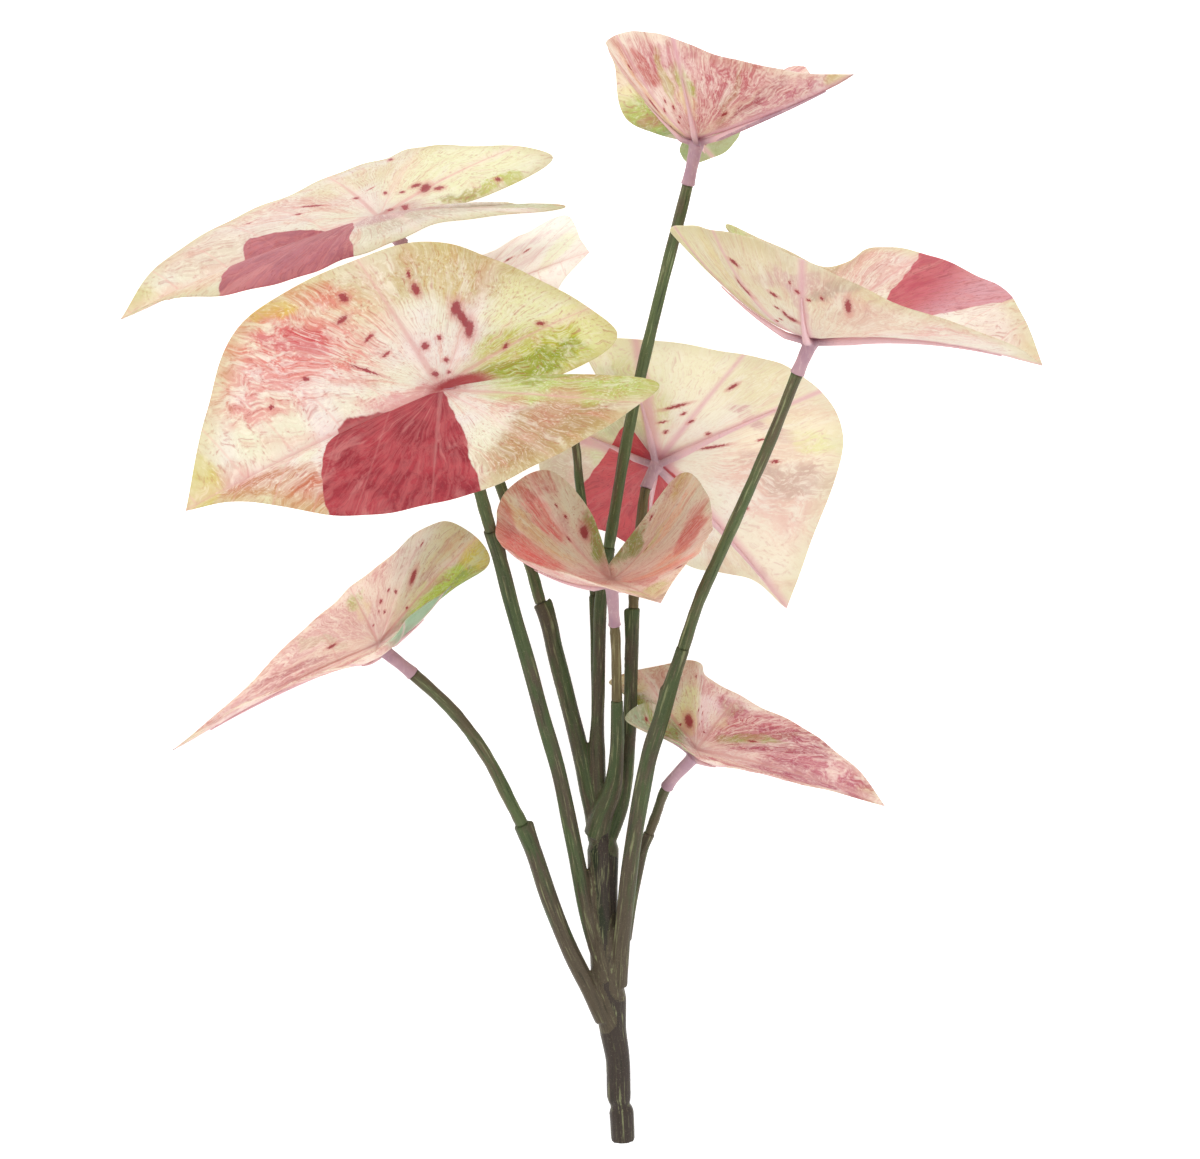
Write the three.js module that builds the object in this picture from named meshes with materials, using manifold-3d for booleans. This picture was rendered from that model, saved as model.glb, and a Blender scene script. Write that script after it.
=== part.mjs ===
// A caladium spray of nine leaves, lying on its back.
// Millimetres. X runs across the spray, Y from the cut end of the trunk to the leaves,
// and Z is the height above the surface that the spray lies on.
// Each leaf is a printed blade, a web of ribs under it that ends in a socket, and a petiole.
// The petioles plug into the nine branches of one moulded trunk.
import * as THREE from "three";
import { mergeVertices } from "three/addons/utils/BufferGeometryUtils.js";
import Module from "manifold-3d";

const wasm = await Module();
wasm.setup();

// The middle of the spray's box, in the coordinates of the lists below.
const BOX_MIDDLE = [-1.2, -3.7, 0.2];

const BLADE_THICKNESS = 0.8;
const SEAT_GAP = 0.35; // between two pieces that touch
const BLADE_CURL = 1.3; // 1 keeps each blade a plain cone, more bends it up towards its margin
const SMALL_LEAF = 0.78; // of the large leaf's size

const LARGE_RINGS = 7;
const SMALL_RINGS = 5;
// Steps of the margin from one of its points to the next, from the sinus to the tip.
const MARGIN_STEPS = [2, 3, 3, 3, 3, 2, 2];
// The ribs follow these of the blade's radii, counted from the sinus.
const LOBE_RIB = 6;
const SIDE_RIB = 12;

const RIB_RADIUS = 1.1;
const RIB_TIP_RADIUS = 0.5;
const RIB_SIDES = 6;
const RIB_STEPS = 5;
const HUB_DROP = 0.5; // how much lower the ribs come out of the hub, where the blade bends most
const RIB_START = 0.16; // share of the blade's radius at which a rib comes out of the hub
const HUB_RADIUS = 2.7;
const MIDRIB_REACH = 0.82; // share of the blade's radius that the rib covers
const SIDE_RIB_REACH = 0.72;
const LOBE_RIB_REACH = 0.62;

const STEM_SIDES = 10;
const TRUNK_SIDES = 14;
const TOOTH_LENGTH = 7;
const TOOTH_WIDTH = 3;

const COLOURS = {
  blade: 0xe8c9b4,
  ribs: 0xc493ab,
  petiole: 0x5b6844,
  trunk: 0x665a4a,
};

// The trunk's axis from its cut end, each point with the trunk's radius there.
const TRUNK = [
  [20.1, -254.3, 5.4, 5.4],
  [19.4, -241.1, 9, 5.6],
  [19.1, -239, 9.5, 5],
  [18.9, -237.8, 9.8, 4.2],
  [18.6, -236, 10.2, 5],
  [18.2, -233.2, 11, 5.5],
  [17.7, -216.9, 15, 5.5],
  [15.5, -203, 18.5, 6.1],
  [14.2, -189.1, 22.5, 7.4],
  [12.8, -181.2, 25, 7.2],
  [11.3, -156.8, 31, 6.5],
  [10.8, -138.4, 35.5, 6.8],
  [10.9, -120, 40, 7.2],
  [10.4, -113.1, 42, 5],
];

// Each leaf: margin runs from the sinus along the left half to the tip and back along the right half,
// as seen from above with the tip forward: sinus, inner edge, lobe end, back, wide, front, shoulder, tip.
// bow is the arch of each radius at those points, upwards where it is positive.
// branch and petiole are routes, each with its radii, and the socket ends at the petiole's last point.
const LEAVES = [
  {
    name: "a",
    scale: SMALL_LEAF,
    hub: [52.2, 201.5, 118],
    margin: [
      [46.9, 200.7, 116], [45.6, 196, 92], [52.5, 192.2, 72], [71.6, 202.6, 64],
      [73.9, 222, 69], [98.4, 235, 98], [105.7, 228.6, 140], [122.6, 228.6, 156],
      [98.8, 229.9, 150], [66.5, 235.8, 158], [31.8, 247.6, 154], [13.1, 244.9, 136],
      [16.2, 233.8, 124], [21.2, 211.1, 120],
    ],
    bow: [0, 0, 0, 3, 4, 3, -2, -3, -2, -3, -5, -5, -3, -2],
    branch: [
      [10.4, -110.9, 40], [8.6, -92.6, 44], [8, -74.3, 49], [8.5, -58, 53.2],
      [9.2, -28.6, 62], [9.9, -5.9, 69], [11.8, 5.4, 72], [13.6, 18.1, 76],
    ],
    branchRadii: [4, 4, 3.8, 2.9, 2.9, 2.9, 2.9, 2.9],
    petiole: [
      [13.6, 18.1, 76], [15.6, 30.3, 79], [21.7, 66.5, 88], [28, 96.1, 95],
      [38.2, 138.3, 105], [49, 181, 113],
    ],
    petioleRadii: [2.6, 2.6],
    socketRadii: [3, 3],
  },
  {
    name: "b",
    scale: 1,
    hub: [-90.9, 167.4, 68],
    margin: [
      [-75.9, 169.6, 70], [-40, 172.9, 96], [-6.2, 170.1, 118], [-57.6, 163.9, 131],
      [-101.5, 147.7, 131], [-147.5, 133.3, 118], [-186.2, 129.6, 100], [-207, 120.5, 84],
      [-190, 148.4, 50], [-151, 171.9, 16], [-98.5, 194.3, 2.3], [-61, 203.1, 2.3],
      [-12.4, 197.4, 22], [-41.6, 178.1, 60],
    ],
    bow: [0, 2, 2, 5, 7, 6, 3, 3, 2, 3, 3, 3, 2, 1],
    branch: [
      [8.1, -115.5, 40], [5.9, -101.7, 43], [3.1, -88, 45], [0.4, -74.3, 47],
      [-5.3, -51.5, 50], [-11.1, -28.7, 53], [-14.2, -15, 54.5], [-17.4, -7.3, 55],
    ],
    branchRadii: [4, 3.9, 3.9, 3.9, 3.9, 3.9, 3.9, 3.8],
    petiole: [
      [-17.4, -7.3, 55], [-21.7, 7.7, 56], [-35.8, 46.3, 59], [-53, 93.8, 59],
      [-69.8, 134.6, 60], [-80.1, 155.3, 64],
    ],
    petioleRadii: [2.6, 2.6],
    socketRadii: [3.2, 3.1],
  },
  {
    name: "c",
    scale: SMALL_LEAF,
    hub: [-49, 129.4, 92],
    margin: [
      [-53.5, 127.9, 92], [-67.2, 125.8, 88], [-82.6, 126, 84], [-68.3, 140.7, 70],
      [-37.3, 153.8, 54], [-7.7, 168.3, 70], [1, 156.4, 94], [4.6, 150.8, 104],
      [-7.6, 136.5, 116], [-19.7, 117, 128], [-43.3, 101.6, 134], [-68.9, 99, 130],
      [-86.5, 108.7, 118], [-69.3, 120, 102],
    ],
    bow: [0, 0, 1, 2, 3, 3, 2, 2, 2, 3, 3, 2, 1, 0],
    branch: [
      [8, -67, 49], [7.8, -42.4, 51], [7.4, -24.1, 54], [6.8, -3.7, 58],
    ],
    branchRadii: [2.5, 2.4, 2.4, 2.3],
    petiole: [
      [6.8, -3.7, 58], [3.6, 21.3, 64], [0, 48.5, 70], [-2.1, 66.6, 74],
      [-11.7, 91.3, 80], [-30.1, 116, 86], [-39.2, 124, 88],
    ],
    petioleRadii: [2, 1.9],
    socketRadii: [2.3, 2.5],
  },
  {
    name: "d",
    scale: 1,
    hub: [-61.1, 88, 170],
    margin: [
      [-45.5, 87.7, 171], [-5.8, 94.3, 170], [35.7, 90.1, 182], [2.8, 65.6, 208],
      [-46.6, 41.5, 218], [-101, 31.5, 212], [-146.8, 38.3, 203], [-173.7, 33.7, 193],
      [-165.1, 77.8, 174], [-146.4, 120.8, 160], [-74.5, 153.8, 143], [-21.9, 139.4, 132],
      [16.7, 114.4, 125], [-5.7, 95.2, 160],
    ],
    bow: [0, 2, 2, 4, 5, 5, 3, 3, 2, 2, 3, 4, 3, 1],
    branch: [
      [14.1, -182.2, 24], [11.3, -175.3, 27], [4.9, -154.5, 33], [-0.1, -129.1, 43],
      [-4.2, -108.4, 52], [-9.3, -84, 64], [-16.3, -59.3, 78], [-22.9, -34.3, 92],
      [-30.3, -8.1, 106], [-35.2, 11.3, 117], [-39.6, 25.6, 126],
    ],
    branchRadii: [3.7, 3.7, 3.8, 3.8, 3.6, 3.5, 3.5, 3.4, 3.4, 3.4, 3.3],
    petiole: [
      [-39.6, 25.6, 126], [-43.3, 39, 133], [-50.2, 65.6, 152], [-55.1, 76.7, 160],
    ],
    petioleRadii: [2.8, 2.8],
    socketRadii: [3.4, 3.4],
  },
  {
    name: "e",
    scale: 1,
    hub: [104.3, 112.7, 140],
    margin: [
      [94.4, 115, 132], [80.4, 145.9, 88], [67.7, 164.9, 62], [111.1, 145.7, 66],
      [140.4, 153.9, 92], [184, 137, 138], [196.1, 122, 184], [204.7, 98.1, 208],
      [187.7, 107.9, 212], [134.2, 127.9, 212], [83.8, 151.7, 196], [52.7, 160.5, 158],
      [41.8, 159.5, 126], [64.3, 140.5, 122],
    ],
    bow: [0, 2, 2, 4, 5, 5, 4, 5.5, 2.5, -4, -6, -6, -4, -3],
    branch: [
      [18.2, -182.2, 26], [19.1, -165.8, 34], [21.4, -142.7, 46], [24.1, -119.6, 58],
      [29.5, -87.4, 75], [32.5, -73.7, 83], [36.9, -60.1, 90], [40.8, -46.5, 96],
      [47, -27.5, 103],
    ],
    branchRadii: [4, 3.9, 3.9, 3.9, 3.9, 3.9, 3.9, 3.6, 3],
    petiole: [
      [47, -27.5, 103], [54.2, -5.8, 109], [62.2, 12.2, 114], [74.3, 39.1, 121.5],
      [86, 65.9, 129], [97.7, 95.4, 137],
    ],
    petioleRadii: [2.7, 2.6],
    socketRadii: [3.2, 3.2],
  },
  {
    name: "f",
    scale: 1,
    hub: [35.3, 57, 62],
    margin: [
      [28.9, 67.8, 65], [11.3, 84.7, 62], [-15.5, 91.7, 50], [-15.1, 41.5, 20],
      [18.6, 22.4, 9], [53, 9.2, 6], [79, 3.2, 3], [95.5, -9.2, 0.6],
      [104.7, 16.9, 24], [120.1, 67.3, 54], [100.1, 96.5, 72], [60.1, 107.6, 86],
      [5.9, 111.5, 86], [12.2, 88.1, 76],
    ],
    bow: [0, 1, 2, 4, 5, 5, 4, 5, 4, 3, 3, 3, 2, 1],
    branch: [
      [13, -118, 40], [19.5, -99.4, 44], [21.3, -88, 47], [22.7, -69.7, 51],
      [23.4, -51.4, 55], [23.9, -28.6, 60], [24.7, -9.5, 64],
    ],
    branchRadii: [3.1, 3.1, 3.1, 3.1, 3.1, 3.1, 3],
    petiole: [
      [24.7, -9.5, 64], [25, -1.3, 65], [26.2, 12.2, 66], [28, 28, 68], [30.3, 44.8, 68],
    ],
    petioleRadii: [2.3, 2.3],
    socketRadii: [2.8, 2.9],
  },
  {
    name: "g",
    scale: SMALL_LEAF,
    hub: [14.9, 3.5, 101],
    margin: [
      [13.1, 9.5, 91], [27.6, 28, 90], [45.5, 51, 93], [56, 45, 102],
      [60, 29.5, 118], [55.4, 18.5, 143], [44.5, 6, 170], [36.4, -7.1, 184],
      [9.5, 1.4, 172], [-20.8, 10.8, 156], [-36, 21.5, 140.5], [-33.6, 41.8, 108],
      [-14, 52.9, 80], [5, 34.4, 85],
    ],
    bow: [0, -1, -2, -3, -4, -3, 0, 3, 0, -3, -4, -3, -2, -1],
    branch: [
      [8.1, -113.1, 42], [10.4, -103.9, 46], [15, -92.5, 50], [17.2, -74.1, 58],
      [17.2, -51.3, 70],
    ],
    branchRadii: [6, 5.4, 4.2, 3.2, 2.7],
    petiole: [
      [17.2, -51.3, 70], [16.6, -24, 84], [16.1, -17.2, 88],
    ],
    petioleRadii: [2.3, 2.3],
    socketRadii: [2.7, 2.9],
  },
  {
    name: "h",
    scale: SMALL_LEAF,
    hub: [-90.4, -25.6, 92],
    margin: [
      [-81.4, -20.2, 90], [-66, -6.5, 112], [-57, 0, 124], [-72.5, -10.7, 138],
      [-92.6, -29.8, 138], [-124.9, -41.6, 128], [-154.3, -54.6, 104], [-183.7, -73.9, 82],
      [-158.4, -52.3, 82], [-124.1, -18.5, 60], [-94, 7.7, 50], [-62, 29.9, 60],
      [-40.5, 13, 66], [-57.1, -0.5, 80],
    ],
    bow: [0, -1, -1, -3, -3, -2, 0, 2.5, 2, 3, 3, 3, 2, 0],
    branch: [
      [11.3, -198.3, 23], [4.9, -184.4, 28], [-4.2, -165.8, 35], [-13.4, -142.7, 44],
      [-21, -119.7, 52], [-26, -107.8, 57],
    ],
    branchRadii: [4, 4, 3.9, 3.9, 3.9, 3.8],
    petiole: [
      [-26, -107.8, 57], [-31.4, -97.2, 61], [-40.4, -79.4, 68], [-49.4, -65.7, 74],
      [-58.4, -54.8, 79], [-75, -39.3, 88],
    ],
    petioleRadii: [2.8, 2.8],
    socketRadii: [3.1, 3],
  },
  {
    name: "i",
    scale: SMALL_LEAF,
    hub: [53, -73.8, 84],
    margin: [
      [48.8, -68, 80], [30.2, -49.6, 50], [14.1, -43, 34], [50.2, -33.5, 46],
      [62.3, -44, 44], [100, -63.4, 48], [123.8, -80.4, 68], [138, -99.1, 90],
      [116.5, -92.6, 104], [84.1, -84, 118], [58, -77.7, 126], [41, -69.2, 86],
      [21.2, -60.7, 69], [32.9, -52.5, 68],
    ],
    bow: [0, 0, 0, 2, 3, 3, 2, 3, 0, -1, -1, 0, 1, 0],
    branch: [
      [21.2, -161.3, 32], [24.9, -138.3, 38], [29, -119.9, 44], [32, -112.1, 47],
    ],
    branchRadii: [2.6, 2.6, 2.5, 2.5],
    petiole: [
      [32, -112.1, 47], [35, -103.8, 52], [39.9, -90.8, 64],
    ],
    petioleRadii: [2.2, 2.2],
    socketRadii: [2.8, 2.9],
  },
];

// The small pointed steps at the top of five sheaths: the branch, how far along it the step stands,
// and the direction that it points away from the branch.
const TEETH = [
  { branch: "b", along: 0.99, side: [1, 0.1, 0.2] },
  { branch: "e", along: 0.87, side: [-1, 0.1, 0.2] },
  { branch: "f", along: 0.99, side: [-1, 0, 0.2] },
  { branch: "h", along: 0.99, side: [1, 0.3, 0.2] },
  { branch: "d", along: 0.98, side: [1, 0.2, 0.1] },
];

const vector = ([x, y, z]) => new THREE.Vector3(x, y, z);

// A Catmull-Rom step from b to c, with a and d as their outer neighbours.
function splinePoint(a, b, c, d, t) {
  const t2 = t * t;
  const t3 = t2 * t;
  return new THREE.Vector3()
    .addScaledVector(a, 0.5 * (-t3 + 2 * t2 - t))
    .addScaledVector(b, 0.5 * (3 * t3 - 5 * t2 + 2))
    .addScaledVector(c, 0.5 * (-3 * t3 + 4 * t2 + t))
    .addScaledVector(d, 0.5 * (t3 - t2));
}

const reflect = (point, centre) => centre.clone().multiplyScalar(2).sub(point);

// The points of one half of the margin, from its first point up to, and without, its last.
function halfMargin(points, steps) {
  const last = points.length - 1;
  const result = [];
  for (let k = 0; k < last; k++) {
    const before = k > 0 ? points[k - 1] : reflect(points[1], points[0]);
    const after = k + 2 <= last ? points[k + 2] : reflect(points[last - 1], points[last]);
    for (let s = 0; s < steps[k]; s++) {
      result.push(splinePoint(before, points[k], points[k + 1], after, s / steps[k]));
    }
  }
  return result;
}

// The same steps for a number that belongs to each margin point, such as its bow.
function halfValues(values, steps) {
  const result = [];
  for (let k = 0; k + 1 < values.length; k++) {
    for (let s = 0; s < steps[k]; s++) {
      result.push(THREE.MathUtils.lerp(values[k], values[k + 1], s / steps[k]));
    }
  }
  return result;
}

// The middle surface of a blade: at(column, share) is the point that lies that share of the way
// from the hub to the margin, along the column's radius.
function bladeSurface(leaf) {
  const hub = vector(leaf.hub);
  const points = leaf.margin.map(vector);
  const tip = MARGIN_STEPS.length;
  const backwards = [...MARGIN_STEPS].reverse();
  const margin = [
    ...halfMargin(points.slice(0, tip + 1), MARGIN_STEPS),
    ...halfMargin([...points.slice(tip), points[0]], backwards),
  ];
  const bows = [
    ...halfValues(leaf.bow.slice(0, tip + 1), MARGIN_STEPS),
    ...halfValues([...leaf.bow.slice(tip), leaf.bow[0]], backwards),
  ];
  const up = new THREE.Vector3();
  margin.forEach((point, k) => {
    const next = margin[(k + 1) % margin.length];
    up.add(next.clone().sub(hub).cross(point.clone().sub(hub)));
  });
  up.normalize();

  const at = (column, share) => {
    const radius = margin[column % margin.length].clone().sub(hub);
    const rise = radius.dot(up) * (share ** BLADE_CURL - share);
    const arch = bows[column % margin.length] * 4 * share * (1 - share);
    return hub.clone().addScaledVector(radius, share).addScaledVector(up, rise + arch);
  };
  return { hub, up, columns: margin.length, at };
}

// The direction that faces up from the blade at a point of its grid.
function surfaceUp(surface, column, share, step) {
  const { columns, at } = surface;
  const inward = at(column, share - step);
  const outward = at(column, Math.min(share + step, 1));
  const before = at(column + columns - 1, share);
  const after = at(column + 1, share);
  const along = outward.sub(inward);
  const across = before.sub(after);
  return along.cross(across).normalize();
}

// A closed blade of even thickness. Both faces are split into the same triangles.
function bladeGeometry(surface, rings) {
  const { hub, up, columns, at } = surface;
  const half = BLADE_THICKNESS / 2;
  const top = [hub.clone().addScaledVector(up, half)];
  const bottom = [hub.clone().addScaledVector(up, -half)];
  for (let ring = 1; ring <= rings; ring++) {
    const share = ring / rings;
    for (let column = 0; column < columns; column++) {
      const point = at(column, share);
      const normal = surfaceUp(surface, column, share, 0.5 / rings);
      top.push(point.clone().addScaledVector(normal, half));
      bottom.push(point.clone().addScaledVector(normal, -half));
    }
  }
  const vertexAt = (ring, column) => (ring === 0 ? 0 : 1 + (ring - 1) * columns + (column % columns));
  const faces = [];
  for (let column = 0; column < columns; column++) {
    faces.push([0, vertexAt(1, column + 1), vertexAt(1, column)]);
    for (let ring = 1; ring < rings; ring++) {
      const a = vertexAt(ring, column);
      const b = vertexAt(ring, column + 1);
      const c = vertexAt(ring + 1, column + 1);
      const d = vertexAt(ring + 1, column);
      faces.push([a, b, c], [a, c, d]);
    }
  }
  const indices = [];
  const bottomStart = top.length;
  for (const [a, b, c] of faces) {
    indices.push(a, b, c);
    indices.push(bottomStart + a, bottomStart + c, bottomStart + b);
  }
  for (let column = 0; column < columns; column++) {
    const a = vertexAt(rings, column);
    const b = vertexAt(rings, column + 1);
    indices.push(a, b, bottomStart + b);
    indices.push(a, bottomStart + b, bottomStart + a);
  }
  return indexedGeometry([...top, ...bottom], indices);
}

function indexedGeometry(points, indices) {
  const geometry = new THREE.BufferGeometry();
  const flat = points.flatMap((point) => [point.x, point.y, point.z]);
  geometry.setAttribute("position", new THREE.Float32BufferAttribute(flat, 3));
  geometry.setIndex(indices);
  return geometry;
}

// A closed round tube along the curve through the points, between two of them. radii holds its
// radius at each point on the way, and the gaps shorten its ends.
function tubeAlong(points, from, to, radii, sides, stepsPerSpan, gaps = [0, 0]) {
  const curve = new THREE.CatmullRomCurve3(points, false, "centripetal");
  const steps = (to - from) * stepsPerSpan;
  const centres = [];
  const tangents = [];
  const sizes = [];
  for (let k = 0; k <= steps; k++) {
    const passed = k / stepsPerSpan;
    const span = Math.min(Math.floor(passed), to - from - 1);
    const t = (from + passed) / (points.length - 1);
    centres.push(curve.getPoint(t));
    tangents.push(curve.getTangent(t));
    sizes.push(THREE.MathUtils.lerp(radii[span], radii[span + 1], passed - span));
  }
  centres[0].addScaledVector(tangents[0], gaps[0]);
  centres[steps].addScaledVector(tangents[steps], -gaps[1]);

  const vertices = [];
  const side = sideOf(tangents[0]);
  for (let k = 0; k <= steps; k++) {
    side.addScaledVector(tangents[k], -side.dot(tangents[k])).normalize();
    const other = tangents[k].clone().cross(side);
    for (let s = 0; s < sides; s++) {
      const angle = (2 * Math.PI * s) / sides;
      vertices.push(
        centres[k]
          .clone()
          .addScaledVector(side, sizes[k] * Math.cos(angle))
          .addScaledVector(other, sizes[k] * Math.sin(angle)),
      );
    }
  }
  const indices = [];
  for (let k = 0; k < steps; k++) {
    for (let s = 0; s < sides; s++) {
      const a = k * sides + s;
      const b = k * sides + ((s + 1) % sides);
      indices.push(a, b, b + sides, a, b + sides, a + sides);
    }
  }
  const startCap = vertices.length;
  vertices.push(centres[0], centres[steps]);
  for (let s = 0; s < sides; s++) {
    const next = (s + 1) % sides;
    indices.push(startCap, next, s);
    indices.push(startCap + 1, steps * sides + s, steps * sides + next);
  }
  return indexedGeometry(vertices, indices);
}

const tubeThrough = (points, radii, sides) => tubeAlong(points, 0, points.length - 1, radii, sides, 1);

// Any direction at right angles to the given one.
function sideOf(direction) {
  const reference = Math.abs(direction.z) < 0.9 ? new THREE.Vector3(0, 0, 1) : new THREE.Vector3(1, 0, 0);
  return reference.cross(direction).normalize();
}

function solidFrom(geometry) {
  const bare = geometry.clone();
  bare.deleteAttribute("normal");
  bare.deleteAttribute("uv");
  const merged = mergeVertices(bare, 1e-4);
  const vertProperties = Float32Array.from(merged.attributes.position.array);
  const triVerts = Uint32Array.from(merged.index.array);
  return new wasm.Manifold(new wasm.Mesh({ numProp: 3, vertProperties, triVerts }));
}

function geometryFrom(solid) {
  const mesh = solid.getMesh();
  const geometry = new THREE.BufferGeometry();
  geometry.setAttribute("position", new THREE.Float32BufferAttribute(mesh.vertProperties, 3));
  geometry.setIndex([...mesh.triVerts]);
  return geometry;
}

const fuse = (geometries) => geometryFrom(geometries.map(solidFrom).reduce((sum, solid) => sum.add(solid)));

const even = ([first, last], count) =>
  Array.from({ length: count }, (_, k) => THREE.MathUtils.lerp(first, last, k / (count - 1)));

// One rib under the blade, from the hub outwards along a column.
function ribGeometry(surface, column, reach, scale) {
  const start = ribCentre(surface, 0, 0, HUB_RADIUS * scale);
  const points = [start];
  const radii = [RIB_RADIUS * scale];
  for (let k = 1; k <= RIB_STEPS; k++) {
    const share = RIB_START + ((reach - RIB_START) * (k - 1)) / (RIB_STEPS - 1);
    const radius = THREE.MathUtils.lerp(RIB_RADIUS, RIB_TIP_RADIUS, (k - 1) / (RIB_STEPS - 1)) * scale;
    points.push(ribCentre(surface, column, share, radius + (k === 1 ? HUB_DROP : 0)));
    radii.push(radius);
  }
  return tubeThrough(points, radii, RIB_SIDES);
}

// The axis of a rib lies its own radius, a seat gap and half a blade under the middle surface.
function ribCentre(surface, column, share, radius) {
  const depth = radius + SEAT_GAP + BLADE_THICKNESS / 2;
  if (share === 0) {
    return surface.hub.clone().addScaledVector(surface.up, -depth);
  }
  const normal = surfaceUp(surface, column, share, 0.05);
  return surface.at(column, share).addScaledVector(normal, -depth);
}

// The whole way of a leaf's stem, from the trunk through the joint and the socket to the hub.
function stemRoute(leaf, surface) {
  const joint = leaf.branch.length - 1;
  const points = [...leaf.branch, ...leaf.petiole.slice(1)].map(vector);
  const socket = points.length - 1;
  points.push(ribCentre(surface, 0, 0, HUB_RADIUS * leaf.scale));
  return { points, joint, socket };
}

// The rib web with its socket, in one piece.
function ribsGeometry(leaf, surface) {
  const { columns } = surface;
  const tip = columns / 2;
  const { points, socket } = stemRoute(leaf, surface);
  const hubBall = new THREE.IcosahedronGeometry(HUB_RADIUS * leaf.scale, 1);
  const centre = points[socket + 1];
  hubBall.translate(centre.x, centre.y, centre.z);
  const socketTube = tubeAlong(points, socket, socket + 1, leaf.socketRadii, STEM_SIDES, 3);
  const ribs = [
    [tip, MIDRIB_REACH],
    [SIDE_RIB, SIDE_RIB_REACH],
    [columns - SIDE_RIB, SIDE_RIB_REACH],
    [LOBE_RIB, LOBE_RIB_REACH],
    [columns - LOBE_RIB, LOBE_RIB_REACH],
  ].map(([column, reach]) => ribGeometry(surface, column, reach, leaf.scale));
  return fuse([socketTube, hubBall, ...ribs]);
}

// A petiole between its branch and its socket, clear of both by the seat gap.
function petioleGeometry(leaf, surface) {
  const { points, joint, socket } = stemRoute(leaf, surface);
  const radii = even(leaf.petioleRadii, socket - joint + 1);
  return tubeAlong(points, joint, socket, radii, STEM_SIDES, 1, [SEAT_GAP, SEAT_GAP]);
}

function branchGeometry(leaf) {
  const { points, joint } = stemRoute(leaf, bladeSurface(leaf));
  return tubeAlong(points, 0, joint, leaf.branchRadii, STEM_SIDES, 1);
}

// A step of the sheath: a slim four-sided cone that leans out of the branch and points to the leaf.
function toothGeometry({ branch, along, side }) {
  const leaf = LEAVES.find(({ name }) => name === branch);
  const curve = new THREE.CatmullRomCurve3(leaf.branch.map(vector), false, "centripetal");
  const foot = curve.getPoint(along);
  const forward = curve.getTangent(along);
  const out = vector(side);
  out.addScaledVector(forward, -out.dot(forward)).normalize();
  const radius = leaf.branchRadii[leaf.branchRadii.length - 1];
  const start = foot.clone().addScaledVector(forward, -TOOTH_LENGTH).addScaledVector(out, radius * 0.5);
  const end = foot.clone().addScaledVector(out, radius + 0.5);
  return tubeThrough([start, end], [TOOTH_WIDTH / 2, TOOTH_WIDTH / 3], 4);
}

function trunkGeometry() {
  const points = TRUNK.map(vector);
  const radii = TRUNK.map((station) => station[3]);
  const stock = tubeThrough(points, radii, TRUNK_SIDES);
  return fuse([stock, ...LEAVES.map(branchGeometry), ...TEETH.map(toothGeometry)]);
}

const MATERIALS = {
  blade: new THREE.MeshStandardMaterial({ color: COLOURS.blade, roughness: 0.6, metalness: 0 }),
  ribs: new THREE.MeshStandardMaterial({ color: COLOURS.ribs, roughness: 0.45, metalness: 0 }),
  petiole: new THREE.MeshStandardMaterial({ color: COLOURS.petiole, roughness: 0.5, metalness: 0 }),
  trunk: new THREE.MeshStandardMaterial({ color: COLOURS.trunk, roughness: 0.55, metalness: 0 }),
};

function piece(name, geometry, material) {
  const mesh = new THREE.Mesh(geometry, material);
  mesh.name = name;
  return mesh;
}

const spray = new THREE.Group();
spray.position.set(-BOX_MIDDLE[0], -BOX_MIDDLE[1], -BOX_MIDDLE[2]);
spray.add(piece("trunk", trunkGeometry(), MATERIALS.trunk));
for (const leaf of LEAVES) {
  const surface = bladeSurface(leaf);
  const rings = leaf.scale === 1 ? LARGE_RINGS : SMALL_RINGS;
  spray.add(piece(`leaf_${leaf.name}`, bladeGeometry(surface, rings), MATERIALS.blade));
  spray.add(piece(`ribs_${leaf.name}`, ribsGeometry(leaf, surface), MATERIALS.ribs));
  spray.add(piece(`petiole_${leaf.name}`, petioleGeometry(leaf, surface), MATERIALS.petiole));
}

export default spray;
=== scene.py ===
"""The looks of the caladium spray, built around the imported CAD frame.

The lists of stations are the ones that the CAD part is built from, in millimetres. Blender works in
metres, so every mesh is scaled by MM when it is made.
"""

import math

import bpy
import numpy as np
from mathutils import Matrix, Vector
from mathutils.kdtree import KDTree


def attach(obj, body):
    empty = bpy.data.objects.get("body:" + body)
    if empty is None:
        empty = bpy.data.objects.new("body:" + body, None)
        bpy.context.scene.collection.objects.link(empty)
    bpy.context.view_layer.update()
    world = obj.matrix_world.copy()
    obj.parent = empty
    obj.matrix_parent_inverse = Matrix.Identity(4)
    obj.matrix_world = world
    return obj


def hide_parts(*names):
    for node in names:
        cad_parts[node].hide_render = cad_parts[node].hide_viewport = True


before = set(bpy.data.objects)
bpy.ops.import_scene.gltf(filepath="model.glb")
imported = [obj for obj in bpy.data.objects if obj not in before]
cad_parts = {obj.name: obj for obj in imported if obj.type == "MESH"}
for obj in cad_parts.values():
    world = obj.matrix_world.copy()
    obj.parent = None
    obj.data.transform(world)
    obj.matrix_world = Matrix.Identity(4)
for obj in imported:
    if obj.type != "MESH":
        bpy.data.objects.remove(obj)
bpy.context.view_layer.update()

MM = 0.001
BOX_MIDDLE = np.array([-1.2, -3.7, 0.2])  # of the CAD part, which sits in the middle of its box

BLADE_THICKNESS = 0.8
BLADE_EDGE_THICKNESS = 0.45
EDGE_ROUNDING = 0.12  # how far the rim stands out past the two faces
SEAT_GAP = 0.35  # between a blade and its ribs
BLADE_CURL = 1.3
SMALL_LEAF = 0.78
MARGIN_STEPS = [2, 3, 3, 3, 3, 2, 2]  # CAD's own steps from one margin station to the next
LARGE_FINENESS = 7  # mesh columns for each of those steps
SMALL_FINENESS = 6
LARGE_RINGS = 58
SMALL_RINGS = 46
RING_CROWDING = 1.15  # over 1, the rings are closer at the margin

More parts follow.
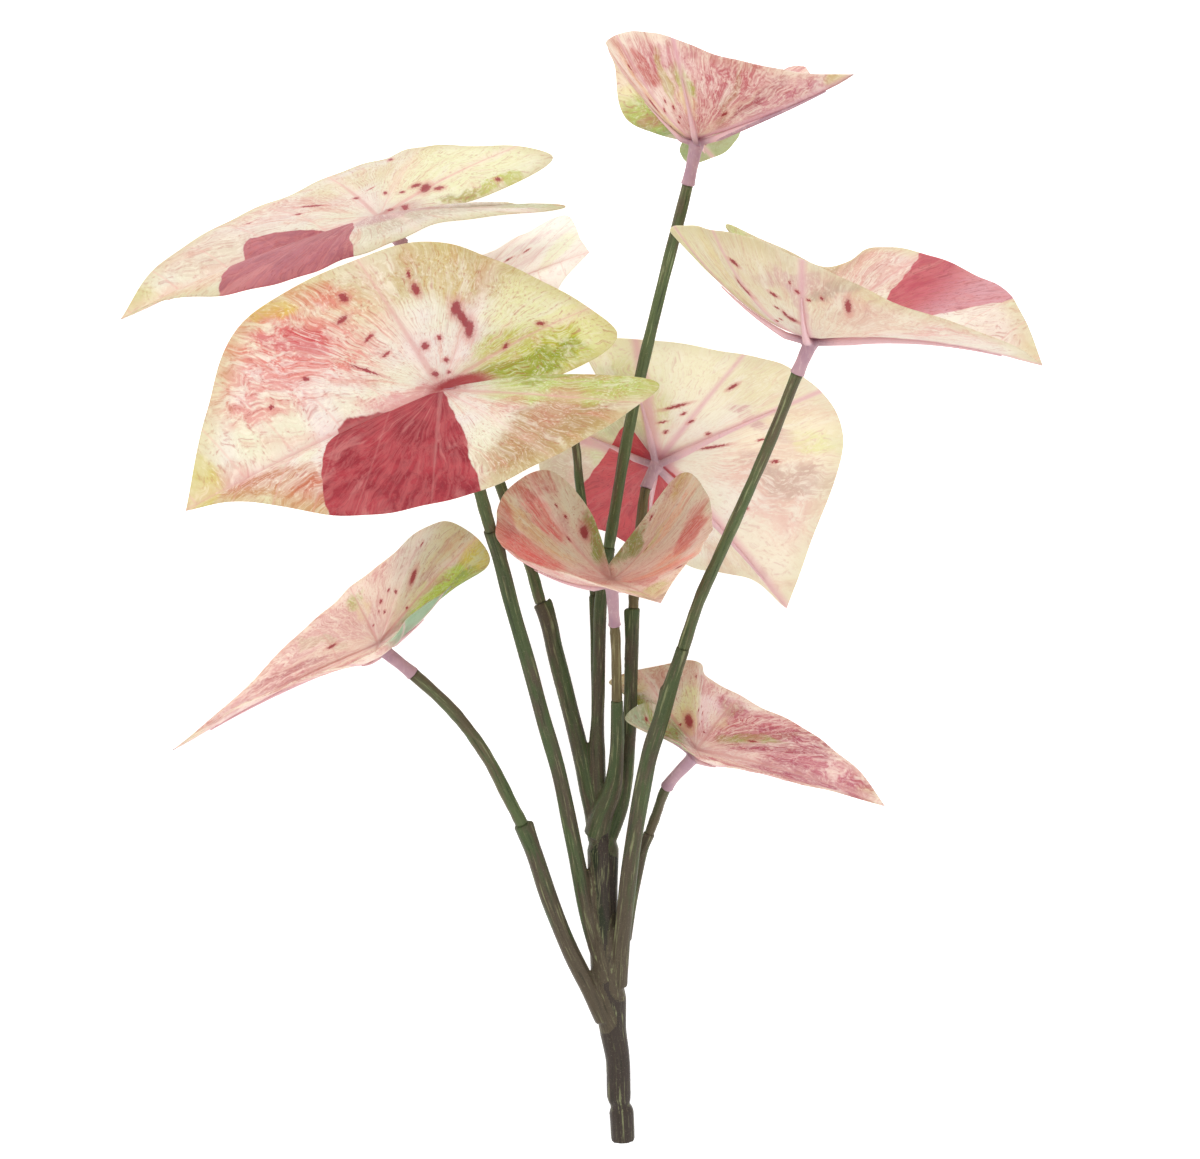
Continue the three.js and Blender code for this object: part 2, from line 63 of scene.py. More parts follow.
# The two pairs of side ribs run towards these steps of the margin, counted from the sinus.
LOBE_RIB = 6
SIDE_RIB = 12
RIB_RADIUS = 1.1
RIB_TIP_RADIUS = 0.5
HUB_RADIUS = 2.7
HUB_DROP = 0.5
RIB_START = 0.16  # shares of the way from the hub to the margin, as the reaches are
MIDRIB_REACH = 0.82
SIDE_RIB_REACH = 0.72
LOBE_RIB_REACH = 0.62
RIB_VOXEL = 0.45
TRUNK_VOXEL = 0.68

# The trunk's axis from its cut end, each point with the trunk's radius there.
TRUNK = [
    (20.1, -254.3, 5.4, 5.4), (19.4, -241.1, 9, 5.6), (19.1, -239, 9.5, 5), (18.9, -237.8, 9.8, 4.2),
    (18.6, -236, 10.2, 5), (18.2, -233.2, 11, 5.5), (17.7, -216.9, 15, 5.5), (15.5, -203, 18.5, 6.1),
    (14.2, -189.1, 22.5, 7.4), (12.8, -181.2, 25, 7.2), (11.3, -156.8, 31, 6.5), (10.8, -138.4, 35.5, 6.8),
    (10.9, -120, 40, 7.2), (10.4, -113.1, 42, 5),
]

# Each leaf's stations. The margin runs from the sinus along the left half to the tip and back along
# the right half, and bow is the arch of each radius there. The branch and the petiole are the routes
# of its stem, and the petiole goes on from the branch's last point.
LEAVES = {}
LEAVES["a"] = {
    "scale": SMALL_LEAF,
    "hub": (52.2, 201.5, 118),
    "margin": [
        (46.9, 200.7, 116), (45.6, 196, 92), (52.5, 192.2, 72), (71.6, 202.6, 64), (73.9, 222, 69),
        (98.4, 235, 98), (105.7, 228.6, 140), (122.6, 228.6, 156), (98.8, 229.9, 150), (66.5, 235.8, 158),
        (31.8, 247.6, 154), (13.1, 244.9, 136), (16.2, 233.8, 124), (21.2, 211.1, 120),
    ],
    "bow": [0, 0, 0, 3, 4, 3, -2, -3, -2, -3, -5, -5, -3, -2],
    "branch": [
        (10.4, -110.9, 40), (8.6, -92.6, 44), (8, -74.3, 49), (8.5, -58, 53.2), (9.2, -28.6, 62),
        (9.9, -5.9, 69), (11.8, 5.4, 72), (13.6, 18.1, 76),
    ],
    "branch_radii": [4, 4, 3.8, 2.9, 2.9, 2.9, 2.9, 2.9],
    "petiole": [
        (15.6, 30.3, 79), (21.7, 66.5, 88), (28, 96.1, 95), (38.2, 138.3, 105), (49, 181, 113),
    ],
    "petiole_radii": [2.6, 2.6],
    "socket_radii": [3, 3],
}
LEAVES["b"] = {
    "scale": 1,
    "hub": (-90.9, 167.4, 68),
    "margin": [
        (-75.9, 169.6, 70), (-40, 172.9, 96), (-6.2, 170.1, 118), (-57.6, 163.9, 131), (-101.5, 147.7, 131),
        (-147.5, 133.3, 118), (-186.2, 129.6, 100), (-207, 120.5, 84), (-190, 148.4, 50), (-151, 171.9, 16),
        (-98.5, 194.3, 2.3), (-61, 203.1, 2.3), (-12.4, 197.4, 22), (-41.6, 178.1, 60),
    ],
    "bow": [0, 2, 2, 5, 7, 6, 3, 3, 2, 3, 3, 3, 2, 1],
    "branch": [
        (8.1, -115.5, 40), (5.9, -101.7, 43), (3.1, -88, 45), (0.4, -74.3, 47), (-5.3, -51.5, 50),
        (-11.1, -28.7, 53), (-14.2, -15, 54.5), (-17.4, -7.3, 55),
    ],
    "branch_radii": [4, 3.9, 3.9, 3.9, 3.9, 3.9, 3.9, 3.8],
    "petiole": [
        (-21.7, 7.7, 56), (-35.8, 46.3, 59), (-53, 93.8, 59), (-69.8, 134.6, 60), (-80.1, 155.3, 64),
    ],
    "petiole_radii": [2.6, 2.6],
    "socket_radii": [3.2, 3.1],
}
LEAVES["c"] = {
    "scale": SMALL_LEAF,
    "hub": (-49, 129.4, 92),
    "margin": [
        (-53.5, 127.9, 92), (-67.2, 125.8, 88), (-82.6, 126, 84), (-68.3, 140.7, 70), (-37.3, 153.8, 54),
        (-7.7, 168.3, 70), (1, 156.4, 94), (4.6, 150.8, 104), (-7.6, 136.5, 116), (-19.7, 117, 128),
        (-43.3, 101.6, 134), (-68.9, 99, 130), (-86.5, 108.7, 118), (-69.3, 120, 102),
    ],
    "bow": [0, 0, 1, 2, 3, 3, 2, 2, 2, 3, 3, 2, 1, 0],
    "branch": [
        (8, -67, 49), (7.8, -42.4, 51), (7.4, -24.1, 54), (6.8, -3.7, 58),
    ],
    "branch_radii": [2.5, 2.4, 2.4, 2.3],
    "petiole": [
        (3.6, 21.3, 64), (0, 48.5, 70), (-2.1, 66.6, 74), (-11.7, 91.3, 80), (-30.1, 116, 86),
        (-39.2, 124, 88),
    ],
    "petiole_radii": [2, 1.9],
    "socket_radii": [2.3, 2.5],
}
LEAVES["d"] = {
    "scale": 1,
    "hub": (-61.1, 88, 170),
    "margin": [
        (-45.5, 87.7, 171), (-5.8, 94.3, 170), (35.7, 90.1, 182), (2.8, 65.6, 208), (-46.6, 41.5, 218),
        (-101, 31.5, 212), (-146.8, 38.3, 203), (-173.7, 33.7, 193), (-165.1, 77.8, 174),
        (-146.4, 120.8, 160), (-74.5, 153.8, 143), (-21.9, 139.4, 132), (16.7, 114.4, 125),
        (-5.7, 95.2, 160),
    ],
    "bow": [0, 2, 2, 4, 5, 5, 3, 3, 2, 2, 3, 4, 3, 1],
    "branch": [
        (14.1, -182.2, 24), (11.3, -175.3, 27), (4.9, -154.5, 33), (-0.1, -129.1, 43), (-4.2, -108.4, 52),
        (-9.3, -84, 64), (-16.3, -59.3, 78), (-22.9, -34.3, 92), (-30.3, -8.1, 106), (-35.2, 11.3, 117),
        (-39.6, 25.6, 126),
    ],
    "branch_radii": [3.7, 3.7, 3.8, 3.8, 3.6, 3.5, 3.5, 3.4, 3.4, 3.4, 3.3],
    "petiole": [
        (-43.3, 39, 133), (-50.2, 65.6, 152), (-55.1, 76.7, 160),
    ],
    "petiole_radii": [2.8, 2.8],
    "socket_radii": [3.4, 3.4],
}
LEAVES["e"] = {
    "scale": 1,
    "hub": (104.3, 112.7, 140),
    "margin": [
        (94.4, 115, 132), (80.4, 145.9, 88), (67.7, 164.9, 62), (111.1, 145.7, 66), (140.4, 153.9, 92),
        (184, 137, 138), (196.1, 122, 184), (204.7, 98.1, 208), (187.7, 107.9, 212), (134.2, 127.9, 212),
        (83.8, 151.7, 196), (52.7, 160.5, 158), (41.8, 159.5, 126), (64.3, 140.5, 122),
    ],
    "bow": [0, 2, 2, 4, 5, 5, 4, 5.5, 2.5, -4, -6, -6, -4, -3],
    "branch": [
        (18.2, -182.2, 26), (19.1, -165.8, 34), (21.4, -142.7, 46), (24.1, -119.6, 58), (29.5, -87.4, 75),
        (32.5, -73.7, 83), (36.9, -60.1, 90), (40.8, -46.5, 96), (47, -27.5, 103),
    ],
    "branch_radii": [4, 3.9, 3.9, 3.9, 3.9, 3.9, 3.9, 3.6, 3],
    "petiole": [
        (54.2, -5.8, 109), (62.2, 12.2, 114), (74.3, 39.1, 121.5), (86, 65.9, 129), (97.7, 95.4, 137),
    ],
    "petiole_radii": [2.7, 2.6],
    "socket_radii": [3.2, 3.2],
}
LEAVES["f"] = {
    "scale": 1,
    "hub": (35.3, 57, 62),
    "margin": [
        (28.9, 67.8, 65), (11.3, 84.7, 62), (-15.5, 91.7, 50), (-15.1, 41.5, 20), (18.6, 22.4, 9),
        (53, 9.2, 6), (79, 3.2, 3), (95.5, -9.2, 0.6), (104.7, 16.9, 24), (120.1, 67.3, 54),
        (100.1, 96.5, 72), (60.1, 107.6, 86), (5.9, 111.5, 86), (12.2, 88.1, 76),
    ],
    "bow": [0, 1, 2, 4, 5, 5, 4, 5, 4, 3, 3, 3, 2, 1],
    "branch": [
        (13, -118, 40), (19.5, -99.4, 44), (21.3, -88, 47), (22.7, -69.7, 51), (23.4, -51.4, 55),
        (23.9, -28.6, 60), (24.7, -9.5, 64),
    ],
    "branch_radii": [3.1, 3.1, 3.1, 3.1, 3.1, 3.1, 3],
    "petiole": [
        (25, -1.3, 65), (26.2, 12.2, 66), (28, 28, 68), (30.3, 44.8, 68),
    ],
    "petiole_radii": [2.3, 2.3],
    "socket_radii": [2.8, 2.9],
}
LEAVES["g"] = {
    "scale": SMALL_LEAF,
    "hub": (14.9, 3.5, 101),
    "margin": [
        (13.1, 9.5, 91), (27.6, 28, 90), (45.5, 51, 93), (56, 45, 102), (60, 29.5, 118), (55.4, 18.5, 143),
        (44.5, 6, 170), (36.4, -7.1, 184), (9.5, 1.4, 172), (-20.8, 10.8, 156), (-36, 21.5, 140.5),
        (-33.6, 41.8, 108), (-14, 52.9, 80), (5, 34.4, 85),
    ],
    "bow": [0, -1, -2, -3, -4, -3, 0, 3, 0, -3, -4, -3, -2, -1],
    "branch": [
        (8.1, -113.1, 42), (10.4, -103.9, 46), (15, -92.5, 50), (17.2, -74.1, 58), (17.2, -51.3, 70),
    ],
    "branch_radii": [6, 5.4, 4.2, 3.2, 2.7],
    "petiole": [
        (16.6, -24, 84), (16.1, -17.2, 88),
    ],
    "petiole_radii": [2.3, 2.3],
    "socket_radii": [2.7, 2.9],
}
LEAVES["h"] = {
    "scale": SMALL_LEAF,
    "hub": (-90.4, -25.6, 92),
    "margin": [
        (-81.4, -20.2, 90), (-66, -6.5, 112), (-57, 0, 124), (-72.5, -10.7, 138), (-92.6, -29.8, 138),
        (-124.9, -41.6, 128), (-154.3, -54.6, 104), (-183.7, -73.9, 82), (-158.4, -52.3, 82),
        (-124.1, -18.5, 60), (-94, 7.7, 50), (-62, 29.9, 60), (-40.5, 13, 66), (-57.1, -0.5, 80),
    ],
    "bow": [0, -1, -1, -3, -3, -2, 0, 2.5, 2, 3, 3, 3, 2, 0],
    "branch": [
        (11.3, -198.3, 23), (4.9, -184.4, 28), (-4.2, -165.8, 35), (-13.4, -142.7, 44), (-21, -119.7, 52),
        (-26, -107.8, 57),
    ],
    "branch_radii": [4, 4, 3.9, 3.9, 3.9, 3.8],
    "petiole": [
        (-31.4, -97.2, 61), (-40.4, -79.4, 68), (-49.4, -65.7, 74), (-58.4, -54.8, 79), (-75, -39.3, 88),
    ],
    "petiole_radii": [2.8, 2.8],
    "socket_radii": [3.1, 3],
}
LEAVES["i"] = {
    "scale": SMALL_LEAF,
    "hub": (53, -73.8, 84),
    "margin": [
        (48.8, -68, 80), (30.2, -49.6, 50), (14.1, -43, 34), (50.2, -33.5, 46), (62.3, -44, 44),
        (100, -63.4, 48), (123.8, -80.4, 68), (138, -99.1, 90), (116.5, -92.6, 104), (84.1, -84, 118),
        (58, -77.7, 126), (41, -69.2, 86), (21.2, -60.7, 69), (32.9, -52.5, 68),
    ],
    "bow": [0, 0, 0, 2, 3, 3, 2, 3, 0, -1, -1, 0, 1, 0],
    "branch": [
        (21.2, -161.3, 32), (24.9, -138.3, 38), (29, -119.9, 44), (32, -112.1, 47),
    ],
    "branch_radii": [2.6, 2.6, 2.5, 2.5],
    "petiole": [
        (35, -103.8, 52), (39.9, -90.8, 64),
    ],
    "petiole_radii": [2.2, 2.2],
    "socket_radii": [2.8, 2.9],
}


# --- Outlines on the flat mould ---------------------------------------------------------------------

# The flat outline of a large leaf, in the order of the margin stations: the tip points along +x, the
# hub is at 0,0, and y is positive on the left half.
HALF_OUTLINE = [(-16, 0), (-56, 9), (-92, 29), (-52, 61), (4, 72), (62, 54), (106, 20), (136, 0)]
OUTLINE = HALF_OUTLINE + [(x, -y) for x, y in HALF_OUTLINE[-2:0:-1]]

VEIN_ANGLES = [math.radians(71), math.radians(118), math.radians(152)]
UNRIBBED_VEIN = VEIN_ANGLES[1]  # the middle one has no rib under it
LATERAL_SPACING = 26
LATERAL_SLANT = 0.5
LATERAL_BEND = 0.002

# The relief, in millimetres: grooves along the veins, a swelling between them, and shallower folds
# along the laterals. Round the rim run waves: how many, how high, and how far each leaf's number
# turns them.
GROOVE_DEPTH = 0.55
GROOVE_WIDTH = 1.8
SWELLING = 0.35
SWELLING_WIDTH = 9
FOLD_DEPTH = 0.3
FOLD_WIDTH = 2.2
RIM_WAVES = ((9, 0.5, 1), (17, 0.35, 2.3))


def unit(vectors):
    return vectors / np.linalg.norm(vectors, axis=-1, keepdims=True)


def with_ends(points):
    """The points, with one more mirrored out beyond each end."""
    points = np.asarray(points, float)
    return np.vstack([2 * points[0] - points[1], points, 2 * points[-1] - points[-2]])


def span(start, leaving, end, arriving, count):
    """Points from start up to end, without it, on the cubic with these tangents at its ends."""
    t = (np.arange(count) / count)[:, None]
    near = (2 * t**3 - 3 * t * t + 1) * start + (t**3 - 2 * t * t + t) * leaving
    return near + (-2 * t**3 + 3 * t * t) * end + (t**3 - t * t) * arriving


def half_margin(points, steps):
    """Catmull-Rom points of one half of the margin, without its last station."""
    padded = with_ends(points)
    spans = []
    for k, count in enumerate(steps):
        before, start, end, after = padded[k:k + 4]
        spans.append(span(start, (end - before) / 2, end, (after - start) / 2, count))
    return np.concatenate(spans)


def around(stations, fineness):
    """The whole margin from its 14 stations."""
    steps = [s * fineness for s in MARGIN_STEPS]
    tip = len(steps)
    left = half_margin(stations[:tip + 1], steps)
    right = half_margin(stations[tip:] + stations[:1], steps[::-1])
    return np.concatenate([left, right])


def around_numbers(values, fineness):
    """A number of each station, spread evenly along the margin."""
    steps = np.array(MARGIN_STEPS + MARGIN_STEPS[::-1]) * fineness
    starts = np.concatenate([[0], np.cumsum(steps)])
    return np.interp(np.arange(starts[-1]), starts, values + values[:1])


class Blade:
    """The middle surface of a blade, with its flat mould place for each point."""

    def __init__(self, leaf, fineness):
        self.scale = leaf["scale"]
        self.fineness = fineness
        self.hub = np.array(leaf["hub"], float) - BOX_MIDDLE
        self.radius = around(leaf["margin"], fineness) - BOX_MIDDLE - self.hub
        self.bow = around_numbers(leaf["bow"], fineness)
        self.outline = around(OUTLINE, fineness)
        self.columns = len(self.radius)
        coarse = self.radius[::fineness]
        self.up = unit(np.cross(np.roll(coarse, -1, 0), coarse).sum(0))

    def at(self, column, share):
        """Points at these columns and shares of the way from the hub to the margin."""
        radius = self.radius[column]
        share = np.asarray(share, float)[..., None]
        rise = (radius @ self.up)[..., None] * (share**BLADE_CURL - share)
        arch = self.bow[column][..., None] * 4 * share * (1 - share)
        return self.hub + share * radius + (rise + arch) * self.up

    def normal(self, column, share, step=0.02):
        inward = self.at(column, np.maximum(share - step, 0))
        outward = self.at(column, np.minimum(share + step, 1))
        before = self.at((column - 1) % self.columns, share)
        after = self.at((column + 1) % self.columns, share)
        return unit(np.cross(outward - inward, before - after))


def vein_distances(x, y):
    """How far a mould point is from the primary veins, and its place across the lateral veins."""
    side = np.abs(y)
    from_hub = np.hypot(x, side)
    nearest = np.where(x > 0, side, from_hub)
    for angle in VEIN_ANGLES:
        along = x * math.cos(angle) + side * math.sin(angle)
        across = np.abs(x * math.sin(angle) - side * math.cos(angle))
        nearest = np.minimum(nearest, np.where(along > 0, across, from_hub))
    lateral = (x - LATERAL_SLANT * side - LATERAL_BEND * side * side) / LATERAL_SPACING
    return nearest, lateral


def bell(distance, width):
    """1 at no distance, and falling smoothly to nothing over about two widths."""
    return np.exp(-((distance / width) ** 2))


def relief(x, y, share):
    """The height of the embossed veins and of the swelling between them, in millimetres."""
    primary, lateral = vein_distances(x, y)
    inside = np.clip(share / 0.12, 0, 1) * np.clip((1 - share) / 0.1, 0, 1)
    groove = -GROOVE_DEPTH * bell(primary, GROOVE_WIDTH)
    swelling = SWELLING * (1 - bell(primary, SWELLING_WIDTH))
    front = np.clip((lateral - 0.4) / 0.3, 0, 1)
    off_lateral = (lateral - np.round(lateral)) * LATERAL_SPACING
    folds = -FOLD_DEPTH * front * bell(off_lateral, FOLD_WIDTH)
    return inside * (groove + swelling + folds)


def linked(name, data):
    """A new object in the scene, holding this mesh, light or camera."""
    thing = bpy.data.objects.new(name, data)
    bpy.context.scene.collection.objects.link(thing)
    return thing


def new_object(name, vertices, faces, material):
    mesh = bpy.data.meshes.new(name)
    mesh.from_pydata([tuple(v) for v in np.asarray(vertices) * MM], [], faces)
    mesh.validate()
    mesh.shade_smooth()
    mesh.materials.append(material)
    return linked(name, mesh)


def closed(rings, first, last):
    """Vertices and faces of a skin that goes from a first point over rings of points to a last one."""
    total, count = rings.shape[:2]
    vertices = np.concatenate([rings.reshape(-1, 3), [first, last]])
    end = (total - 1) * count
    faces = []
    for c in range(count):
        n = (c + 1) % count
        faces += [(a + c, a + n, a + count + n, a + count + c) for a in range(0, end, count)]
        faces.append((end + count, n, c))
        faces.append((end + count + 1, end + c, end + n))
    return vertices, faces


def keep_values(piece, name, values):
    """Stores a number or a vector for each vertex, which the materials read."""
    values = np.asarray(values, np.float32)
    kind, field = ("FLOAT_VECTOR", "vector") if values.ndim == 2 else ("FLOAT", "value")
    piece.data.attributes.new(name, kind, "POINT").data.foreach_set(field, values.ravel())


def blade_object(name, leaf, material, seed):
    """A closed blade of even thickness that thins at its rounded margin."""
    large = leaf["scale"] == 1
    blade = Blade(leaf, LARGE_FINENESS if large else SMALL_FINENESS)
    rings = LARGE_RINGS if large else SMALL_RINGS
    count = blade.columns
    shares = 1 - (1 - np.linspace(0, 1, rings + 1)[1:]) ** RING_CROWDING
    column, share = np.meshgrid(np.arange(count), shares)
    normal = blade.normal(column, share)
    mould = share[..., None] * blade.outline[column]
    x, y = mould[..., 0], mould[..., 1]

    turn = np.arctan2(y, x)
    waves = sum(high * np.sin(number * turn + phase * seed) for number, high, phase in RIM_WAVES)
    waves = waves * share**5 * np.clip(np.hypot(x, y) / 40, 0, 1)
    height = blade.scale * (relief(x, y, share) + waves)
    place = blade.at(column, share) + height[..., None] * normal
    half = np.interp(share, [0.9, 1], [BLADE_THICKNESS / 2, BLADE_EDGE_THICKNESS / 2])[..., None]
    columns = np.arange(count)
    outward = unit(blade.at(columns, np.ones(count)) - blade.at(columns, np.full(count, 0.99)))

    # The skin goes out over the top, round the rim and back in below.
    hub_half = blade.up * BLADE_THICKNESS / 2
    rim = place[-1:] + EDGE_ROUNDING * outward
    skin = np.concatenate([place + half * normal, rim, (place - half * normal)[::-1]])
    piece = new_object(name, *closed(skin, blade.hub + hub_half, blade.hub - hub_half), material)
    flat = np.stack([x, y, share], -1)
    flat = np.concatenate([flat, flat[-1:], flat[::-1]]).reshape(-1, 3)
    keep_values(piece, "mould", np.concatenate([flat, np.zeros((2, 3))]))
    sides = np.repeat([0, 0.5, 1], [rings * count, count, rings * count])
    keep_values(piece, "under", np.concatenate([sides, [0, 1]]))
    return piece


# --- Stems, sockets and ribs ------------------------------------------------------------------------

STEM_SIDES = 40
SOCKET_SIDES = 24
RIB_SIDES = 12
RIB_POINTS = 22


def centripetal_points(points, per_span, first=0, last=None):
    """Points along the centripetal Catmull-Rom curve through the stations, and their place on it."""
    last = len(points) - 1 if last is None else last
    padded = with_ends(points)
    spans = []
    for k in range(first, last):
        p0, p1, p2, p3 = padded[k:k + 4]
        d0, d1, d2 = (max(np.sqrt(np.linalg.norm(b - a)), 1e-4) for a, b in ((p0, p1), (p1, p2), (p2, p3)))
        t1 = ((p1 - p0) / d0 - (p2 - p0) / (d0 + d1) + (p2 - p1) / d1) * d1
        t2 = ((p2 - p1) / d1 - (p3 - p1) / (d1 + d2) + (p3 - p2) / d2) * d1
        spans.append(span(p1, t1, p2, t2, per_span))
    places = np.arange(first * per_span, last * per_span + 1) / per_span
    return np.concatenate(spans + [padded[last + 1:last + 2]]), places


def tangents_of(centres):
    return unit(np.vstack([centres[1:], centres[-1:]]) - np.vstack([centres[:1], centres[:-1]]))


def tube(centres, radii, sides, wobble=None):
    """Vertices and faces of a closed tube. wobble(k, angles) adds to its radius."""
    tangents = tangents_of(centres)
    side = np.cross([0, 0, 1] if abs(tangents[0][2]) < 0.9 else [1, 0, 0], tangents[0])
    angles = np.arange(sides) * 2 * math.pi / sides
    rings = []
    for k, centre in enumerate(centres):
        side = unit(side - side.dot(tangents[k]) * tangents[k])
        other = np.cross(tangents[k], side)
        size = radii[k] + (wobble(k, angles) if wobble else 0) * np.ones(sides)
        ring = np.cos(angles)[:, None] * side + np.sin(angles)[:, None] * other
        rings.append(centre + size[:, None] * ring)
    return closed(np.array(rings), centres[0], centres[-1])


def melted(name, parts, voxel, material, smooth_steps):
    """The parts fused into one skin by a voxel remesh."""
    vertices = []
    faces = []
    count = 0
    for part_vertices, part_faces in parts:
        vertices.append(part_vertices)
        faces += [tuple(i + count for i in face) for face in part_faces]
        count += len(part_vertices)
    rough = new_object(name + "_rough", np.concatenate(vertices), faces, material)
    remesh = rough.modifiers.new("fuse", "REMESH")
    remesh.mode = "VOXEL"
    remesh.voxel_size = voxel * MM
    remesh.use_smooth_shade = True
    smooth = rough.modifiers.new("smooth", "SMOOTH")
    smooth.factor = 0.5
    smooth.iterations = smooth_steps
    graph = bpy.context.evaluated_depsgraph_get()
    mesh = bpy.data.meshes.new_from_object(rough.evaluated_get(graph))
    bpy.data.objects.remove(rough)
    mesh.name = name
    mesh.shade_smooth()
    mesh.materials.clear()
    mesh.materials.append(material)
    return linked(name, mesh)


STEM_SHIFT = 7  # keeps the colours of two stems apart; the trunk itself has no shift


def stem_shift(number):
    return STEM_SHIFT * (number + 3)


def points_of(piece):
    return np.array([v.co for v in piece.data.vertices]) / MM


def add_stem_places(piece, centres, shifts):
    """Each point's place across its stem as x and z, with the stem's own shift, and its height as y."""
    along = np.concatenate([tangents_of(line) for line in centres])
    shifts = np.repeat(shifts, [len(line) for line in centres])
    centres = np.concatenate(centres)
    tree = KDTree(len(centres))
    for k, centre in enumerate(centres):
        tree.insert(centre, k)
    tree.balance()
    points = points_of(piece)
    nearest = [tree.find(point)[1] for point in points]
    offset = points - centres[nearest]
    offset = offset - (offset * along[nearest]).sum(1)[:, None] * along[nearest]
    keep_values(piece, "stem", np.stack([offset[:, 0] + shifts[nearest], points[:, 1], offset[:, 2]], -1))


def ball(centre, radius, rings=10, sides=16):
    angles = np.linspace(math.pi, 0, rings + 2)[1:-1]
    centres = centre + np.outer(radius * np.cos(angles), [0, 0, 1])
    return tube(centres, radius * np.sin(angles), sides)


def rib_centre(blade, column, share, radius):
    depth = radius + SEAT_GAP + BLADE_THICKNESS / 2
    if share == 0:
        return blade.hub - depth * blade.up
    return blade.at(column, share) - depth * blade.normal(column, share, 0.05)


def stem_route(leaf, blade):
    """A leaf's stations from the trunk to its hub, and which ones are the joint and the socket."""
    route = [np.array(p, float) - BOX_MIDDLE for p in leaf["branch"] + leaf["petiole"]]
    joint = len(leaf["branch"]) - 1
    socket = len(route) - 1
    route.append(rib_centre(blade, 0, 0, HUB_RADIUS * leaf["scale"]))
    return np.array(route), joint, socket


def ribs_object(name, leaf, material):
    """The rib web: five tapering ribs, a soft hub and the socket that the petiole plugs into."""
    blade = Blade(leaf, 4)
    scale = leaf["scale"]
    route, _, socket = stem_route(leaf, blade)
    hub = route[-1]
    centres, places = centripetal_points(route, 14, socket, socket + 1)
    places = places - socket
    collar = 0.35 * bell(places, 0.05)
    waist = -0.25 * bell(places - 0.35, 0.2)
    flare = 0.7 * np.clip((places - 0.75) / 0.25, 0, 1) ** 2
    radii = np.interp(places, [0, 1], leaf["socket_radii"]) + collar + waist + flare
    parts = [tube(centres, radii, SOCKET_SIDES), ball(hub, HUB_RADIUS * scale)]

    # Each rib's column of the blade, its reach and its weight, the midrib first.
    lines = [(blade.columns // 2, MIDRIB_REACH, 1.15)]
    for step, reach, weight in ((SIDE_RIB, SIDE_RIB_REACH, 1), (LOBE_RIB, LOBE_RIB_REACH, 0.9)):
        lines.append((step * blade.fineness, reach, weight))
        lines.append((blade.columns - step * blade.fineness, reach, weight))
    for column, reach, weight in lines:
        points = [hub]
        sizes = [1.5 * RIB_RADIUS * scale]
        for t in np.linspace(0, 1, RIB_POINTS):
            radius = (RIB_RADIUS + (RIB_TIP_RADIUS - RIB_RADIUS) * t + 0.8 * (1 - t) ** 2) * scale
            drop = HUB_DROP * (1 - t) ** 6
            points.append(rib_centre(blade, column, RIB_START + (reach - RIB_START) * t, radius + drop))
            sizes.append(radius * weight)
        parts.append(tube(np.array(points), sizes, RIB_SIDES))
    piece = melted(name, parts, RIB_VOXEL, material, 3)
    offset = points_of(piece) - hub
    on_socket = offset @ blade.up < -1.5 * HUB_RADIUS * scale
    keep_values(piece, "outward", np.where(on_socket, 0, np.linalg.norm(offset, axis=1) / (40 * scale)))
    return piece


def petiole_object(name, leaf, material, seed):
    """A petiole with shallow flutes, between its branch and its socket."""
    route, joint, socket = stem_route(leaf, Blade(leaf, 4))
    centres, places = centripetal_points(route, 16, joint, socket)
    tangents = tangents_of(centres)
    centres[0] += 0.1 * tangents[0]
    centres[-1] -= 0.1 * tangents[-1]
    radii = np.interp(places, [joint, socket], leaf["petiole_radii"])

    # Slow swellings along the petiole, and flutes round it, in millimetres.
    def wobble(k, angles):
        slow = 0.09 * math.sin(places[k] * 5.1 + seed) + 0.05 * math.sin(places[k] * 13 + 2 * seed)
        return slow + 0.07 * np.cos(7 * angles + seed) + 0.04 * np.cos(13 * angles + 2 * seed + places[k])

    piece = new_object(name, *tube(centres, radii, STEM_SIDES, wobble), material)
    add_stem_places(piece, [centres], [stem_shift(seed)])
    return piece


# The steps at the top of five sheaths: how far along the branch, and to which side they point.
TEETH = [
    ("b", 0.99, [1, 0.1, 0.2]),
    ("e", 0.87, [-1, 0.1, 0.2]),
    ("f", 0.99, [-1, 0, 0.2]),
    ("h", 0.99, [1, 0.3, 0.2]),
    ("d", 0.98, [1, 0.2, 0.1]),
]
# A tooth's line, as tooth lengths back from its top and stem radii out from the stem's middle, and its
# radii. Its point then stands a little past its sheath.
TOOTH_LENGTH = 9
TOOTH_LINE = ((2.4, 0.4), (1.2, 0.65), (0.4, 0.85))
TOOTH_RADII = (1.4, 1.6, 1.6, 1.2, 0.5)


def tooth(letter, along, side):
    """A thin pointed step that leans out of its sheath towards the leaf."""
    leaf = LEAVES[letter]
    centres, _ = centripetal_points(np.array(leaf["branch"]) - BOX_MIDDLE, 12)
    k = int(round(along * (len(centres) - 1)))
    forward = tangents_of(centres)[k]
    side = np.array(side, float)
    out = unit(side - side.dot(forward) * forward)
    radius = leaf["branch_radii"][-1]
    lengths = np.cumsum(np.linalg.norm(np.diff(centres, axis=0, prepend=centres[:1]), axis=1))
    points = []
    for back, height in TOOTH_LINE:
        place = lengths[k] - back * TOOTH_LENGTH
        centre = np.array([np.interp(place, lengths, centres[:, axis]) for axis in range(3)])
        points.append(centre + height * radius * out)
    points.append(centres[k] + (radius + 0.35) * out)
    points.append(centres[k] + 1.3 * forward + (radius + 0.7) * out)
    curve, places = centripetal_points(points, 6)
    return tube(curve, np.interp(places, range(5), TOOTH_RADII), RIB_SIDES)


